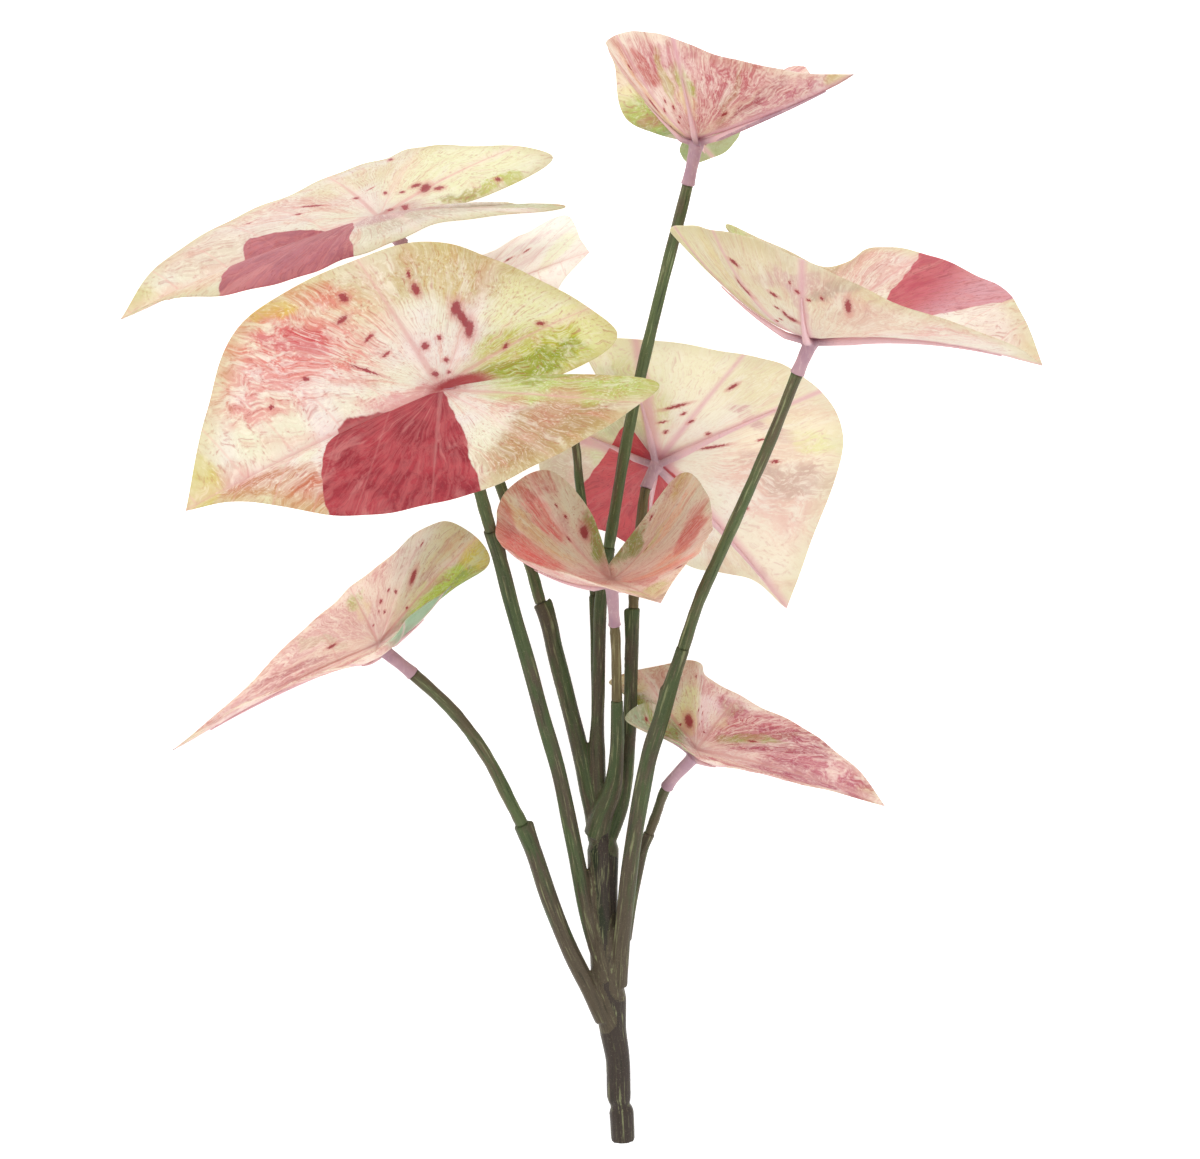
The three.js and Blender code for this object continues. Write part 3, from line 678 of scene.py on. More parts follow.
def trunk_object(name, material):
    """The trunk and its nine branches in one skin, with its neck ring and its sheaths."""
    stations = np.array(TRUNK)
    centres, places = centripetal_points(stations[:, :3] - BOX_MIDDLE, 10)
    radii = np.interp(places, range(len(stations)), stations[:, 3])
    parts = [
        tube(centres, radii, STEM_SIDES, lambda k, a: 0.12 * np.cos(9 * a + 1) + 0.06 * np.cos(17 * a)),
    ]
    lines = [centres]
    for number, leaf in enumerate(LEAVES.values()):
        branch, places = centripetal_points(np.array(leaf["branch"]) - BOX_MIDDLE, 12)
        last = len(leaf["branch"]) - 1
        lip = 0.12 * bell(places - last + 0.04, 0.05)
        sizes = np.interp(places, range(last + 1), leaf["branch_radii"]) + lip

        def wobble(k, angles, number=number, places=places):
            slow = 0.08 * math.sin(places[k] * 4.3 + number)
            return slow + 0.11 * np.cos(8 * angles + number) + 0.05 * np.cos(15 * angles + 2 * number)

        parts.append(tube(branch, sizes, STEM_SIDES, wobble))
        lines.append(branch)
    parts += [tooth(*step) for step in TEETH]
    piece = melted(name, parts, TRUNK_VOXEL, material, 2)
    add_stem_places(piece, lines, [0] + [stem_shift(k) for k in range(len(LEAVES))])
    return piece


# --- Materials --------------------------------------------------------------------------------------

def linear(code):
    """A colour written as on a screen, such as "#C7475C", in the renderer's own numbers."""
    parts = [int(code[k:k + 2], 16) / 255 for k in (1, 3, 5)]
    parts = [p / 12.92 if p <= 0.04045 else ((p + 0.055) / 1.055) ** 2.4 for p in parts]
    return (*parts, 1)


class Graph:
    """Short calls that add nodes to a material. A value may be a socket, a number or a colour."""

    def __init__(self, name):
        self.material = bpy.data.materials.new(name)
        self.material.use_nodes = True
        self.nodes = self.material.node_tree.nodes
        self.links = self.material.node_tree.links
        self.nodes.clear()

    def fill(self, node, values):
        """Sets or links a node's inputs, by name or number, and gives its outputs."""
        for key, value in values.items():
            socket = node.inputs[key]
            if isinstance(value, bpy.types.NodeSocket):
                self.links.new(value, socket)
            elif isinstance(value, str):
                socket.default_value = linear(value)
            else:
                socket.default_value = value
        return node.outputs

    def math(self, operation, *values):
        node = self.nodes.new("ShaderNodeMath")
        node.operation = operation
        return self.fill(node, dict(enumerate(values)))[0]

    def add(self, a, b):
        return self.math("ADD", a, b)

    def less(self, a, b):
        return self.math("SUBTRACT", a, b)

    def times(self, a, b):
        return self.math("MULTIPLY", a, b)

    def vector_math(self, operation, *values):
        node = self.nodes.new("ShaderNodeVectorMath")
        node.operation = operation
        outputs = self.fill(node, dict(enumerate(values)))
        return outputs["Value" if operation == "LENGTH" else "Vector"]

    def scaled(self, place, *factors):
        return self.vector_math("MULTIPLY", place, factors)

    def moved(self, place, by, amount):
        """The place, moved on the flat mould by this much of a noise vector."""
        return self.vector_math("ADD", place, self.scaled(by, amount, amount, 0))

    def combine(self, x, y, z):
        return self.fill(self.nodes.new("ShaderNodeCombineXYZ"), {0: x, 1: y, 2: z})[0]

    def separate(self, vector):
        return tuple(self.fill(self.nodes.new("ShaderNodeSeparateXYZ"), {0: vector}))

    def attribute(self, name, output):
        node = self.nodes.new("ShaderNodeAttribute")
        node.attribute_name = name
        return node.outputs[output]

    def noise(self, vector, scale, detail=2, roughness=0.55, distortion=0.0, output="Fac"):
        node = self.nodes.new("ShaderNodeTexNoise")
        return self.fill(node, {
            "Vector": vector, "Scale": scale, "Detail": detail,
            "Roughness": roughness, "Distortion": distortion,
        })[output]

    def noise_vector(self, vector, scale, detail, roughness=0.55):
        """A vector of noise around nought."""
        noise = self.noise(vector, scale, detail, roughness, output="Color")
        return self.vector_math("SUBTRACT", noise, (0.5, 0.5, 0.5))

    def ramp(self, value, low, high, to_low=0.0, to_high=1.0):
        """A smooth step from to_low, where value is at low, to to_high, where it is at high."""
        node = self.nodes.new("ShaderNodeMapRange")
        node.interpolation_type = "SMOOTHSTEP"
        return self.fill(node, {
            "Value": value, "From Min": low, "From Max": high, "To Min": to_low, "To Max": to_high,
        })["Result"]

    def mix(self, factor, a, b):
        node = self.nodes.new("ShaderNodeMix")
        node.data_type = "RGBA"
        return self.fill(node, {0: factor, 6: a, 7: b})[2]

    def stained(self, colour, *stains):
        """The colour under stains of ink, each a value, where it starts and is full, and a strength."""
        for value, low, high, strength, ink in stains:
            colour = self.mix(self.ramp(value, low, high, 0.0, strength), colour, ink)
        return colour

    def ellipse(self, vector, x, y, rx, ry, turn=0):
        """0 at the middle of an ellipse on the mould, and 1 on its rim."""
        node = self.nodes.new("ShaderNodeMapping")
        node.vector_type = "TEXTURE"
        turned = (0, 0, math.radians(turn))
        values = {0: vector, "Location": (x, y, 0), "Rotation": turned, "Scale": (rx, ry, 1)}
        return self.vector_math("LENGTH", self.fill(node, values)[0])

    def bump(self, height, strength, distance):
        node = self.nodes.new("ShaderNodeBump")
        return self.fill(node, {"Strength": strength, "Distance": distance, "Height": height})[0]

    def surface(self, colour, roughness, normal=None, translucent=0.0, coat=0.0, specular=0.5, glow=0.0):
        values = {"Base Color": colour, "Roughness": roughness, "Specular IOR Level": specular}
        if glow:
            values |= {"Emission Color": "#FFFFFF", "Emission Strength": glow}
        if coat:
            values |= {"Coat Weight": coat, "Coat Roughness": 0.3}
        if normal is not None:
            values["Normal"] = normal
        result = self.fill(self.nodes.new("ShaderNodeBsdfPrincipled"), values)[0]
        if translucent:
            thin = self.fill(self.nodes.new("ShaderNodeBsdfTranslucent"), {"Color": colour})[0]
            mixer = self.nodes.new("ShaderNodeMixShader")
            result = self.fill(mixer, {0: translucent, 1: result, 2: thin})[0]
        self.fill(self.nodes.new("ShaderNodeOutputMaterial"), {"Surface": result})
        return self.material

# The print. Each soft patch of colour is an ellipse on the mould: x, y, half length, half width, turn
# in degrees, colour, strength, and how far streaks break it up from 0 to 1. Lengths are in
# millimetres on the large mould, and the small leaves have them at their own scale.
LARGE_PATCHES = [
    (-30, -62, 70, 20, 8, "#D3BF80", 0.8, 0.3),
    (60, -66, 55, 16, -32, "#E2CE92", 0.5, 0.4),
    (55, -36, 44, 19, -28, "#E58D84", 0.9, 0.8),
    (84, -22, 34, 13, -20, "#E59A93", 0.75, 0.8),
    (44, -38, 12, 6, -35, "#D4525A", 0.85, 0.5),
    (56, -56, 10, 6, -34, "#E2CC50", 0.9, 0.4),
    (40, -57, 16, 7, -20, "#DC7E68", 0.8, 0.6),
    (54, -37, 24, 4, -36, "#DC8A8C", 0.7, 0.5),
    (28, -40, 20, 12, -60, "#EBA79B", 0.5, 0.8),
    (-10, -58, 22, 14, 90, "#E3D08F", 0.45, 0.6),
    (-76, -34, 26, 18, 30, "#EEF0A4", 0.75, 0.2),
    (-52, -44, 30, 18, 30, "#F2F4C4", 0.8, 0.2),
    (-54, -17, 46, 14, 14, "#CCD04A", 0.95, 0.4),
    (-44, -11, 36, 5, 14, "#A0AE2E", 0.9, 0.5),
    (-84, -27, 16, 12, 30, "#F2F2C0", 0.8, 0.2),
    (-44, 46, 44, 22, 35, "#BE985C", 0.9, 0.12),
    (-62, 20, 52, 19, -14, "#C6D66C", 0.9, 0.2),
    (-46, 7, 32, 4, -12, "#A7AE48", 0.7, 0.4),
    (-26, 26, 14, 7, 40, "#DC8F80", 0.6, 0.6),
    (-44, 34, 22, 10, 50, "#DDA594", 0.5, 0.5),
    (96, 14, 38, 11, -28, "#CC8458", 0.85, 0.4),
    (80, 36, 14, 20, 60, "#CF7C5C", 0.85, 0.45),
    (84, 4, 30, 4, -5, "#EFC0BC", 0.5, 0.5),
    (128, 0, 16, 12, 0, "#DBD672", 0.8, 0.2),
    (14, -3, 26, 3.5, 0, "#D9707A", 0.75, 0.3),
    (0, 0, 16, 9, 0, "#C8605A", 0.75, 0.5),
]
HUB_RED = (-9, -2, 17, 3.6, 10)
LARGE_SPOTS = [
    (-11.5, -38.5, 5.2, 2.7, 65), (-17.5, -29, 2.8, 6, -12), (-14.5, -34, 8, 2.9, 122),
    (4, -21, 1.6, 2.3), (-2, -24, 1.5, 1.3), (-4, -13.5, 1.8, 1.3), (-5, -8, 1.5, 1.1),
    (1.5, -7.5, 1.1, 2.1, 20), (-35, -19.5, 2.4, 1.3, 50), (-54, -32, 2.6, 1.4), (5, -48, 1.7, 3.8, 10),
    (7, -56, 0.8, 2.6), (29, -51, 1.7, 2.8, 20), (30, -41, 2.6, 1.6, 40), (17, -21, 1.9, 1, 30),
    (55, -19, 2, 1.1), (27, -16, 8, 0.8, -38), (22, -30, 2.6, 1, 50), (78, -13, 1.8, 0.8),
]
SEEN_BELOW_SPOTS = [
    (-17, -50, 1.8, 3.2), (-20, -26, 1.1, 1.5), (-12, -25, 1.3, 1.8, 20), (-15, -14, 1.2, 1.4),
    (4, -24, 1.5, 1.2), (-27, -27, 1.3, 6, 25), (14.5, -19, 7.5, 1, -40), (48, -30, 2.6, 0.9, -30),
    (30, -33, 2, 0.8, -40), (-22, -17, 0.8, 2.2, 30), (60, -12, 3, 0.7, -10),
]
# The print of leaf b, which is seen at a low angle, and the inks that five leaves have over the
# common print. Leaf c, behind the others, is the palest: partly its own pale print and partly painted
# light, for it lies in the shade of the leaves above it.
LOW_PATCHES = [
    (-50, -34, 52, 30, 20, "#F4F6CC", 0.9, 0.1),
    (-30, -56, 40, 12, 16, "#E6D8A4", 0.6, 0.5),
    (-58, -10.5, 30, 2.6, 12, "#C6CE48", 0.95, 0.1),
    (-44, -8, 16, 2.4, 10, "#A08A3C", 0.6, 0.5),
    (-22, -34, 20, 12, 60, "#EBC2AE", 0.5, 0.8),
    (10, -46, 30, 16, 0, "#E6D9B4", 0.8, 0.3),
    (50, -40, 54, 16, -28, "#E6B8AE", 0.7, 0.8),
    (86, -18, 40, 18, -20, "#E3CDBE", 0.8, 0.3),
    (96, 14, 38, 12, -28, "#E9C3A4", 0.8, 0.4),
    (128, 0, 16, 12, 0, "#E0DDA0", 0.8, 0.2),
    (-34, 34, 40, 24, 30, "#CDBDA6", 0.9, 0.2),
    (-14, 26, 30, 20, 20, "#C88E96", 0.9, 0.15),
    (-84, 24, 26, 12, -20, "#B9C486", 0.85, 0.2),
    (14, -3, 26, 3, 0, "#E2A0A0", 0.6, 0.4),
]
LILAC_PATCHES = [
    (0, 50, 36, 24, 0, "#DFA49C", 0.7, 0.6),
    (50, -40, 50, 22, -25, "#EADCC2", 0.7, 0.1),
    (100, 2, 44, 26, 0, "#F4EEE8", 0.85, 0.2),
    (-22, -50, 46, 24, 0, "#F2ECCE", 0.65, 0.3),
    (-40, -40, 30, 8, 60, "#E9DA84", 0.5, 0.6),
    (24, -58, 40, 6, -8, "#D2949E", 0.7, 0.6),
    (12, -46, 16, 4, 70, "#D9A0B0", 0.6, 0.5),
    (44, -60, 30, 4, -20, "#A88F66", 0.7, 0.4),
]
STREAKED_PATCHES = [
    (104, 4, 44, 28, 0, "#FAF0DC", 0.85, 0.1),
    (54, -48, 50, 18, -28, "#F6ECCC", 0.8, 0.1),
    (-40, -48, 44, 20, 20, "#F6F2D2", 0.65, 0.1),
    (66, -34, 48, 16, -24, "#D8A07E", 0.5, 0.9),
    (12, -40, 20, 4, 0, "#C05A68", 0.95, 0.9),
    (35, -40, 9, 5, 0, "#BC6C5A", 0.9, 0.4),
    (60, -29, 36, 5, -14, "#B0604C", 0.95, 0.95),
    (72, -36, 28, 8, -26, "#B46E44", 0.95, 0.95),
    (50, -45, 14, 6, -10, "#DFE262", 0.85, 0.6),
    (66, -56, 15, 8, -40, "#DDE084", 0.75, 0.4),
    (-6, -58, 56, 14, 6, "#E2E0A0", 0.5, 0.4),
    (84, 20, 40, 10, -28, "#DDBE8C", 0.6, 0.5),
]
ROSE_LOBE_PATCHES = [
    (-74, -27, 22, 14, 28, "#F4E8DA", 0.92, 0.1),
    (-69, -17, 15, 7, 14, "#EFE7B8", 0.9, 0.1),
    (-50, -11, 24, 6, 10, "#BCCB56", 0.9, 0.2),
    (-22, -55, 30, 8, 14, "#CC5850", 0.9, 0.4),
    (22, -63, 34, 9, -12, "#CC6078", 0.75, 0.5),
    (2, -48, 17, 5, 98, "#C6B452", 0.8, 0.3),
    (-30, -40, 26, 5, 50, "#E8BE78", 0.6, 0.6),
    (42, -30, 34, 8, -40, "#C9586A", 0.6, 0.8),
]
WHITE_PATCHES = [
    (-26, -26, 32, 13, 40, "#F8E8D4", 0.8, 0.15),
    (-58, -46, 34, 14, 30, "#F6E2B4", 0.8, 0.1),
    (40, -32, 60, 22, -22, "#F4E9E2", 0.5, 0.6),
    (-24, -48, 34, 18, 0, "#F6ECE0", 0.6, 0.4),
    # The lime patch is painted lighter than the lobe's own colour, as painted light on a folded lobe in
    # shade.
    (-57, -17, 34, 11, 14, "#D0EC30", 0.95, 0.1),
    (-82, -32, 15, 13, 25, "#F4DC4C", 0.9, 0.2),
    (-66, -17, 20, 3, 20, "#8FAA2C", 0.7, 0.6),
    (-66, -46, 14, 6, 20, "#E89A80", 0.6, 0.6),
    (104, -2, 44, 14, 0, "#F2E9E8", 0.55, 0.4),
]
YELLOW_PATCHES = [
    (17, -49, 12, 14, 0, "#CC6A84", 0.9, 0.4),
    (0, -36, 18, 18, 0, "#F6E2E6", 0.7, 0.3),
    (-80, -32, 18, 14, 25, "#F0DCC4", 0.85, 0.1),
    (-30, -32, 24, 13, 70, "#F2ECB4", 0.85, 0.2),
    (-36, -12, 18, 7, 20, "#B4C83C", 0.9, 0.2),
    (-42, -52, 20, 10, 20, "#EFC4B8", 0.8, 0.4),
    (58, -28, 52, 16, -24, "#B43058", 0.85, 0.75),
    (84, 8, 46, 14, 6, "#B4305A", 0.9, 0.6),
    (-76, 24, 20, 14, -20, "#B9CBA8", 0.9, 0.1),
    (34, -19, 24, 6, -14, "#AEB650", 0.85, 0.3),
    (118, 2, 18, 14, 0, "#BE4468", 0.85, 0.5),
    (136, 0, 7, 6, 0, "#F3EDD8", 0.9, 0.1),
]
LOW_SPOTS = [
    (-28, -15, 5.5, 2.6, 60), (-33, -12, 3, 2.2, 10), (-25, -19, 3.4, 1.8, 20), (-13, -62, 2, 3.4, 30),
    (-7, -21, 1.7, 1.9), (-17, -16, 1.6, 1.2), (-14, -3, 2, 1.6), (-7, -4, 1.4, 1.1),
    (10, -26, 1.5, 1.6), (31, -29, 8, 1.1, -30), (38, -24, 3, 0.8, -20), (-62, -14, 1.8, 1),
    (62, -30, 1.8, 0.9), (2, -31, 2.6, 0.7, 20),
]
NEAR_SPOTS = [
    (-24, -42, 5.2, 1.9, 36), (-27, -45, 2.4, 1.6, 60), (-2, -46, 3.3, 1.3, 14), (3, -31, 4.2, 2, 30),
    (0, -34, 2.6, 1.6, 80), (41, -47, 6, 2, 112), (15, -52, 1.6, 1.2), (20, -48, 1.3, 1),
    (28, -50, 1.1, 1.4), (12, -56, 1, 1), (-4, -37, 1.8, 1, 20), (-25, -56, 3.6, 1.1, 20),
    (-6, -27, 1.4, 1), (-10, -24, 1.2, 0.9),
]
FAR_PATCHES = [
    (50, -15, 70, 40, 0, "#FCF8E8", 0.9, 0.1),
    (34, -31, 30, 5, -8, "#D06C80", 0.9, 0.7),
    (40, -16, 34, 8, -12, "#E09890", 0.6, 0.9),
    (84, -14, 16, 18, 0, "#E9EDA6", 0.85, 0.1),
]
FAR_SPOTS = [(28, -22, 4, 1.2, -10), (45, -24, 3.6, 1, -14), (66, 2, 2.6, 1.1)]
SMALL_PATCHES = [
    (46, -34, 62, 26, -24, "#C9485E", 0.9, 0.8),
    (46, 34, 62, 26, 24, "#CB4C60", 0.9, 0.8),
    (88, 0, 54, 20, 0, "#C85072", 0.85, 0.75),
    (60, 20, 34, 7, 12, "#B02C4C", 0.85, 0.6),
    (64, -16, 34, 6, -12, "#B43050", 0.85, 0.6),
    (-22, 52, 28, 14, 40, "#CD525C", 0.9, 0.5),
    (-16, -56, 26, 12, -20, "#CC5C68", 0.7, 0.8),
    (-62, -44, 22, 10, 35, "#D98A7C", 0.7, 0.6),
    (-78, -30, 17, 12, 25, "#E6C444", 0.9, 0.2),
    (-56, -14, 28, 8.5, 12, "#B8C634", 0.95, 0.2),
    (-34, -8, 24, 6, 10, "#8DA636", 0.9, 0.3),
    (-20, -16, 16, 7, 20, "#EBDD94", 0.8, 0.3),
    (-42, 12, 34, 8, -10, "#9DB03C", 0.85, 0.3),
    (-70, 34, 24, 14, -25, "#C9A972", 0.7, 0.4),
    (17, -49, 8, 11, 0, "#B4C03A", 0.95, 0.2),
    (12, -34, 7, 14, 10, "#EBDD9C", 0.8, 0.3),
    (30, -13, 46, 4, -14, "#F6E6D2", 0.8, 0.4),
    (30, 13, 46, 4, 14, "#F6E6D2", 0.8, 0.4),
    (44, -26, 30, 3.5, -38, "#B4A25A", 0.7, 0.5),
    (126, 0, 14, 8, 0, "#DCD08C", 0.8, 0.2),
]
SMALL_SPOTS = [
    (-29, -31, 6.4, 2.5, 62), (-4, -32, 1.2, 2.3, 10), (-10, -36, 0.9, 1.8), (-6, -21, 1.1, 1.5),
    (-24, -14, 1.2, 0.9), (-2, -25, 0.8, 1.4, 10), (-15, -30, 0.9, 2.2, 15), (3, -17, 1, 0.8),
    (35, -17, 3.8, 1.6, -10), (-36, -52, 2.2, 1, 50), (87, 27, 3.6, 1.5, 20), (52, 28, 2.4, 0.9, 25),
    (-63, 15, 2.6, 0.8, -15), (-31, 20, 2.2, 0.8, -30),
]
# Leaf g, beside the lower stems, has a print of its own, whose paints are partly made lighter as painted
# light, for the leaf lies in shade.
RED_LOBE_PATCHES = [
    (40, 26, 56, 17, 24, "#FA9484", 0.85, 0.7),
    (40, -30, 60, 22, -24, "#DC5862", 0.85, 0.7),
    (100, 2, 26, 12, 0, "#CFCF80", 0.85, 0.3),
    (-9, -52, 26, 19, 95, "#F04C54", 0.95, 0.35),
    (16, -56, 26, 13, 70, "#F25E62", 0.9, 0.4),
    (-34, -46, 34, 10, 55, "#ECC084", 0.85, 0.6),
    (-52, -38, 26, 11, 36, "#F05062", 0.95, 0.35),
    (-84, -32, 14, 14, 30, "#D44C56", 0.8, 0.4),
    (-66, -14, 34, 5.5, 12, "#F4EDE0", 0.95, 0.1),
    (-58, -25, 28, 4, 22, "#EFD6D0", 0.85, 0.2),
    (-38, -6, 22, 6.2, 8, "#86A810", 1.0, 0.15),
    (-36, 6, 22, 6.2, -10, "#809A1C", 0.95, 0.15),
    (-40, 25, 16, 5, -35, "#E6DFA2", 0.85, 0.3),
    (-70, 26, 26, 9, -20, "#F2CDB0", 0.8, 0.5),
    (-80, 36, 15, 10, 0, "#D8B46A", 0.85, 0.3),
    (48, 12, 34, 8, 4, "#DA6C74", 0.8, 0.6),
    (54, -16, 34, 8, -4, "#E2A68E", 0.7, 0.6),
    (132, 0, 12, 9, 0, "#A07A4A", 0.8, 0.2),
    (-14, 57, 30, 12, -10, "#DC4A50", 0.95, 0.3),
    (22, 36, 32, 16, -20, "#FFAC84", 0.75, 0.8),
    (-48, 40, 26, 10, -28, "#FFB898", 0.7, 0.8),
    (-72, -47, 26, 8, -39, "#D23C50", 0.9, 0.4),
    (-24, -66, 34, 9, -11, "#D64050", 0.9, 0.4),
    (33, -62, 32, 9, 17, "#D8444E", 0.9, 0.4),
]
RED_LOBE_SPOTS = [
    (-47, -12, 6.6, 2.7, 10), (-59, -22, 2.2, 1.1, 20), (-40, -22, 2.8, 1, 25), (-66, -27, 1.8, 0.9, 20),
    (87, 27, 5, 2.4, 20), (-31, 20, 2.6, 0.8, -35), (-63, 15, 3, 0.8, -12),
]
SLANTED_SPOTS = [(-20, -18, 8, 3.2, 40)] + SMALL_SPOTS[1:]
# The red field on the left half of the large mould: its hub side, its tip side at the midrib, how much
# farther out it reaches, and where, and how soft its edges are.
FIELD_HUB_SIDE = -1
FIELD_TIP_SIDE = 55
FIELD_TIP_BULGE = 16
FIELD_BULGE_PLACE = 48
FIELD_BLUR = 0.35
# Each leaf's field: its shift towards the hub, how far its two ends slant, how its midrib side leans
# across the midrib, its strength, how far it fades towards the tip, and its two inks.
FIELDS = {
    "b": (-13.7, 0.14, 0.28, 0.92, 0.1, "#B85E6E", "#A8465A"),
    "d": (0, 0.0, 0.045, 1.0, 0.0, "#BC4650", "#A02F3C"),
    "e": (-24, 0.0, -0.35, 0.92, 0.85, "#D0586C", "#C4405A"),
    "f": (32, 0.0, 0.07, 0.95, 0.0, "#DC5A62", "#C43E4C"),
}
# Each leaf's print: its patches and spots, whether it is mirrored, how pale its underside is, and a
# pale tone laid over the whole leaf, partly the leaf's own and partly painted light, which lightens
# the leaves that lie in shade and gives leaf b a painted sheen.
PRINTS = {
    "a": (SMALL_PATCHES + ROSE_LOBE_PATCHES, SMALL_SPOTS, False, 0.05, 0.08, "#FFFFFF"),
    "b": (LOW_PATCHES, LOW_SPOTS, False, 0.3, 0.22, "#D0CAB6"),
    "c": (FAR_PATCHES, FAR_SPOTS, True, 0.3, 0.62, "#FFFFFA"),
    "d": (LARGE_PATCHES, LARGE_SPOTS, False, 0.3, 0.0, "#FFFFFF"),
    "e": (LARGE_PATCHES + LILAC_PATCHES, NEAR_SPOTS, False, 0.3, 0.16, "#E8E4D4"),
    "f": (LARGE_PATCHES + STREAKED_PATCHES, SEEN_BELOW_SPOTS, False, 0.25, 0.4, "#FFFFF4"),
    "g": (RED_LOBE_PATCHES, RED_LOBE_SPOTS, False, 0.3, 0.2, "#FFE4D8"),
    "h": (SMALL_PATCHES + WHITE_PATCHES, SMALL_SPOTS, False, 0.1, 0.22, "#FFF6E4"),
    "i": (SMALL_PATCHES + YELLOW_PATCHES, SLANTED_SPOTS, True, 0.1, 0.08, "#FFF0F4"),
}


def vein_lines(g, x, side, share):
    """How far a mould point is from the nearest primary vein, and how strongly a vein shows there."""
    out_of_reach = 60  # added on the far side of the hub, where a vein doesn't run
    nearest = g.add(side, g.ramp(x, 0.5, -1.5, 0, out_of_reach))
    for angle in VEIN_ANGLES:
        along = g.add(g.times(x, math.cos(angle)), g.times(side, math.sin(angle)))
        across = g.less(g.times(x, math.sin(angle)), g.times(side, math.cos(angle)))
        across = g.add(g.math("ABSOLUTE", across), 0.8 if angle == UNRIBBED_VEIN else 0.0)
        across = g.add(across, g.ramp(along, 1.5, -0.5, 0, out_of_reach))
        nearest = g.math("MINIMUM", nearest, across)
    nearest = g.add(nearest, g.ramp(share, 0.0, 1.0, 0.0, 0.9))
    lateral = g.less(x, g.times(side, LATERAL_SLANT))
    lateral = g.less(lateral, g.times(g.times(side, side), LATERAL_BEND))
    lateral = g.math("DIVIDE", lateral, LATERAL_SPACING)
    gap = g.times(g.math("ABSOLUTE", g.less(lateral, g.math("ROUND", lateral))), LATERAL_SPACING)
    gap = g.add(gap, g.ramp(lateral, 0.75, 0.45, 0, 40))
    return nearest, g.math("MAXIMUM", g.ramp(nearest, 1.7, 0.55), g.ramp(gap, 1.0, 0.15, 0.0, 0.6))


def field_cover(g, place, slant, lean):
    """A point's place along the red field, and 1 inside the field and 0 outside."""
    x, y, _ = g.separate(place)
    x = g.add(x, g.times(y, slant))
    inward = g.less(1, g.math("DIVIDE", y, FIELD_BULGE_PLACE))
    bulge = g.less(1, g.times(inward, inward))
    tip_side = g.add(g.times(bulge, FIELD_TIP_BULGE), FIELD_TIP_SIDE)
    within_tip_side = g.ramp(g.less(tip_side, x), -FIELD_BLUR, FIELD_BLUR)
    within_hub_side = g.ramp(x, FIELD_HUB_SIDE - FIELD_BLUR, FIELD_HUB_SIDE + FIELD_BLUR)
    beyond_midrib = g.ramp(g.add(y, g.times(x, lean)), 0.7, 1.4)
    return x, g.times(g.times(within_tip_side, within_hub_side), beyond_midrib)


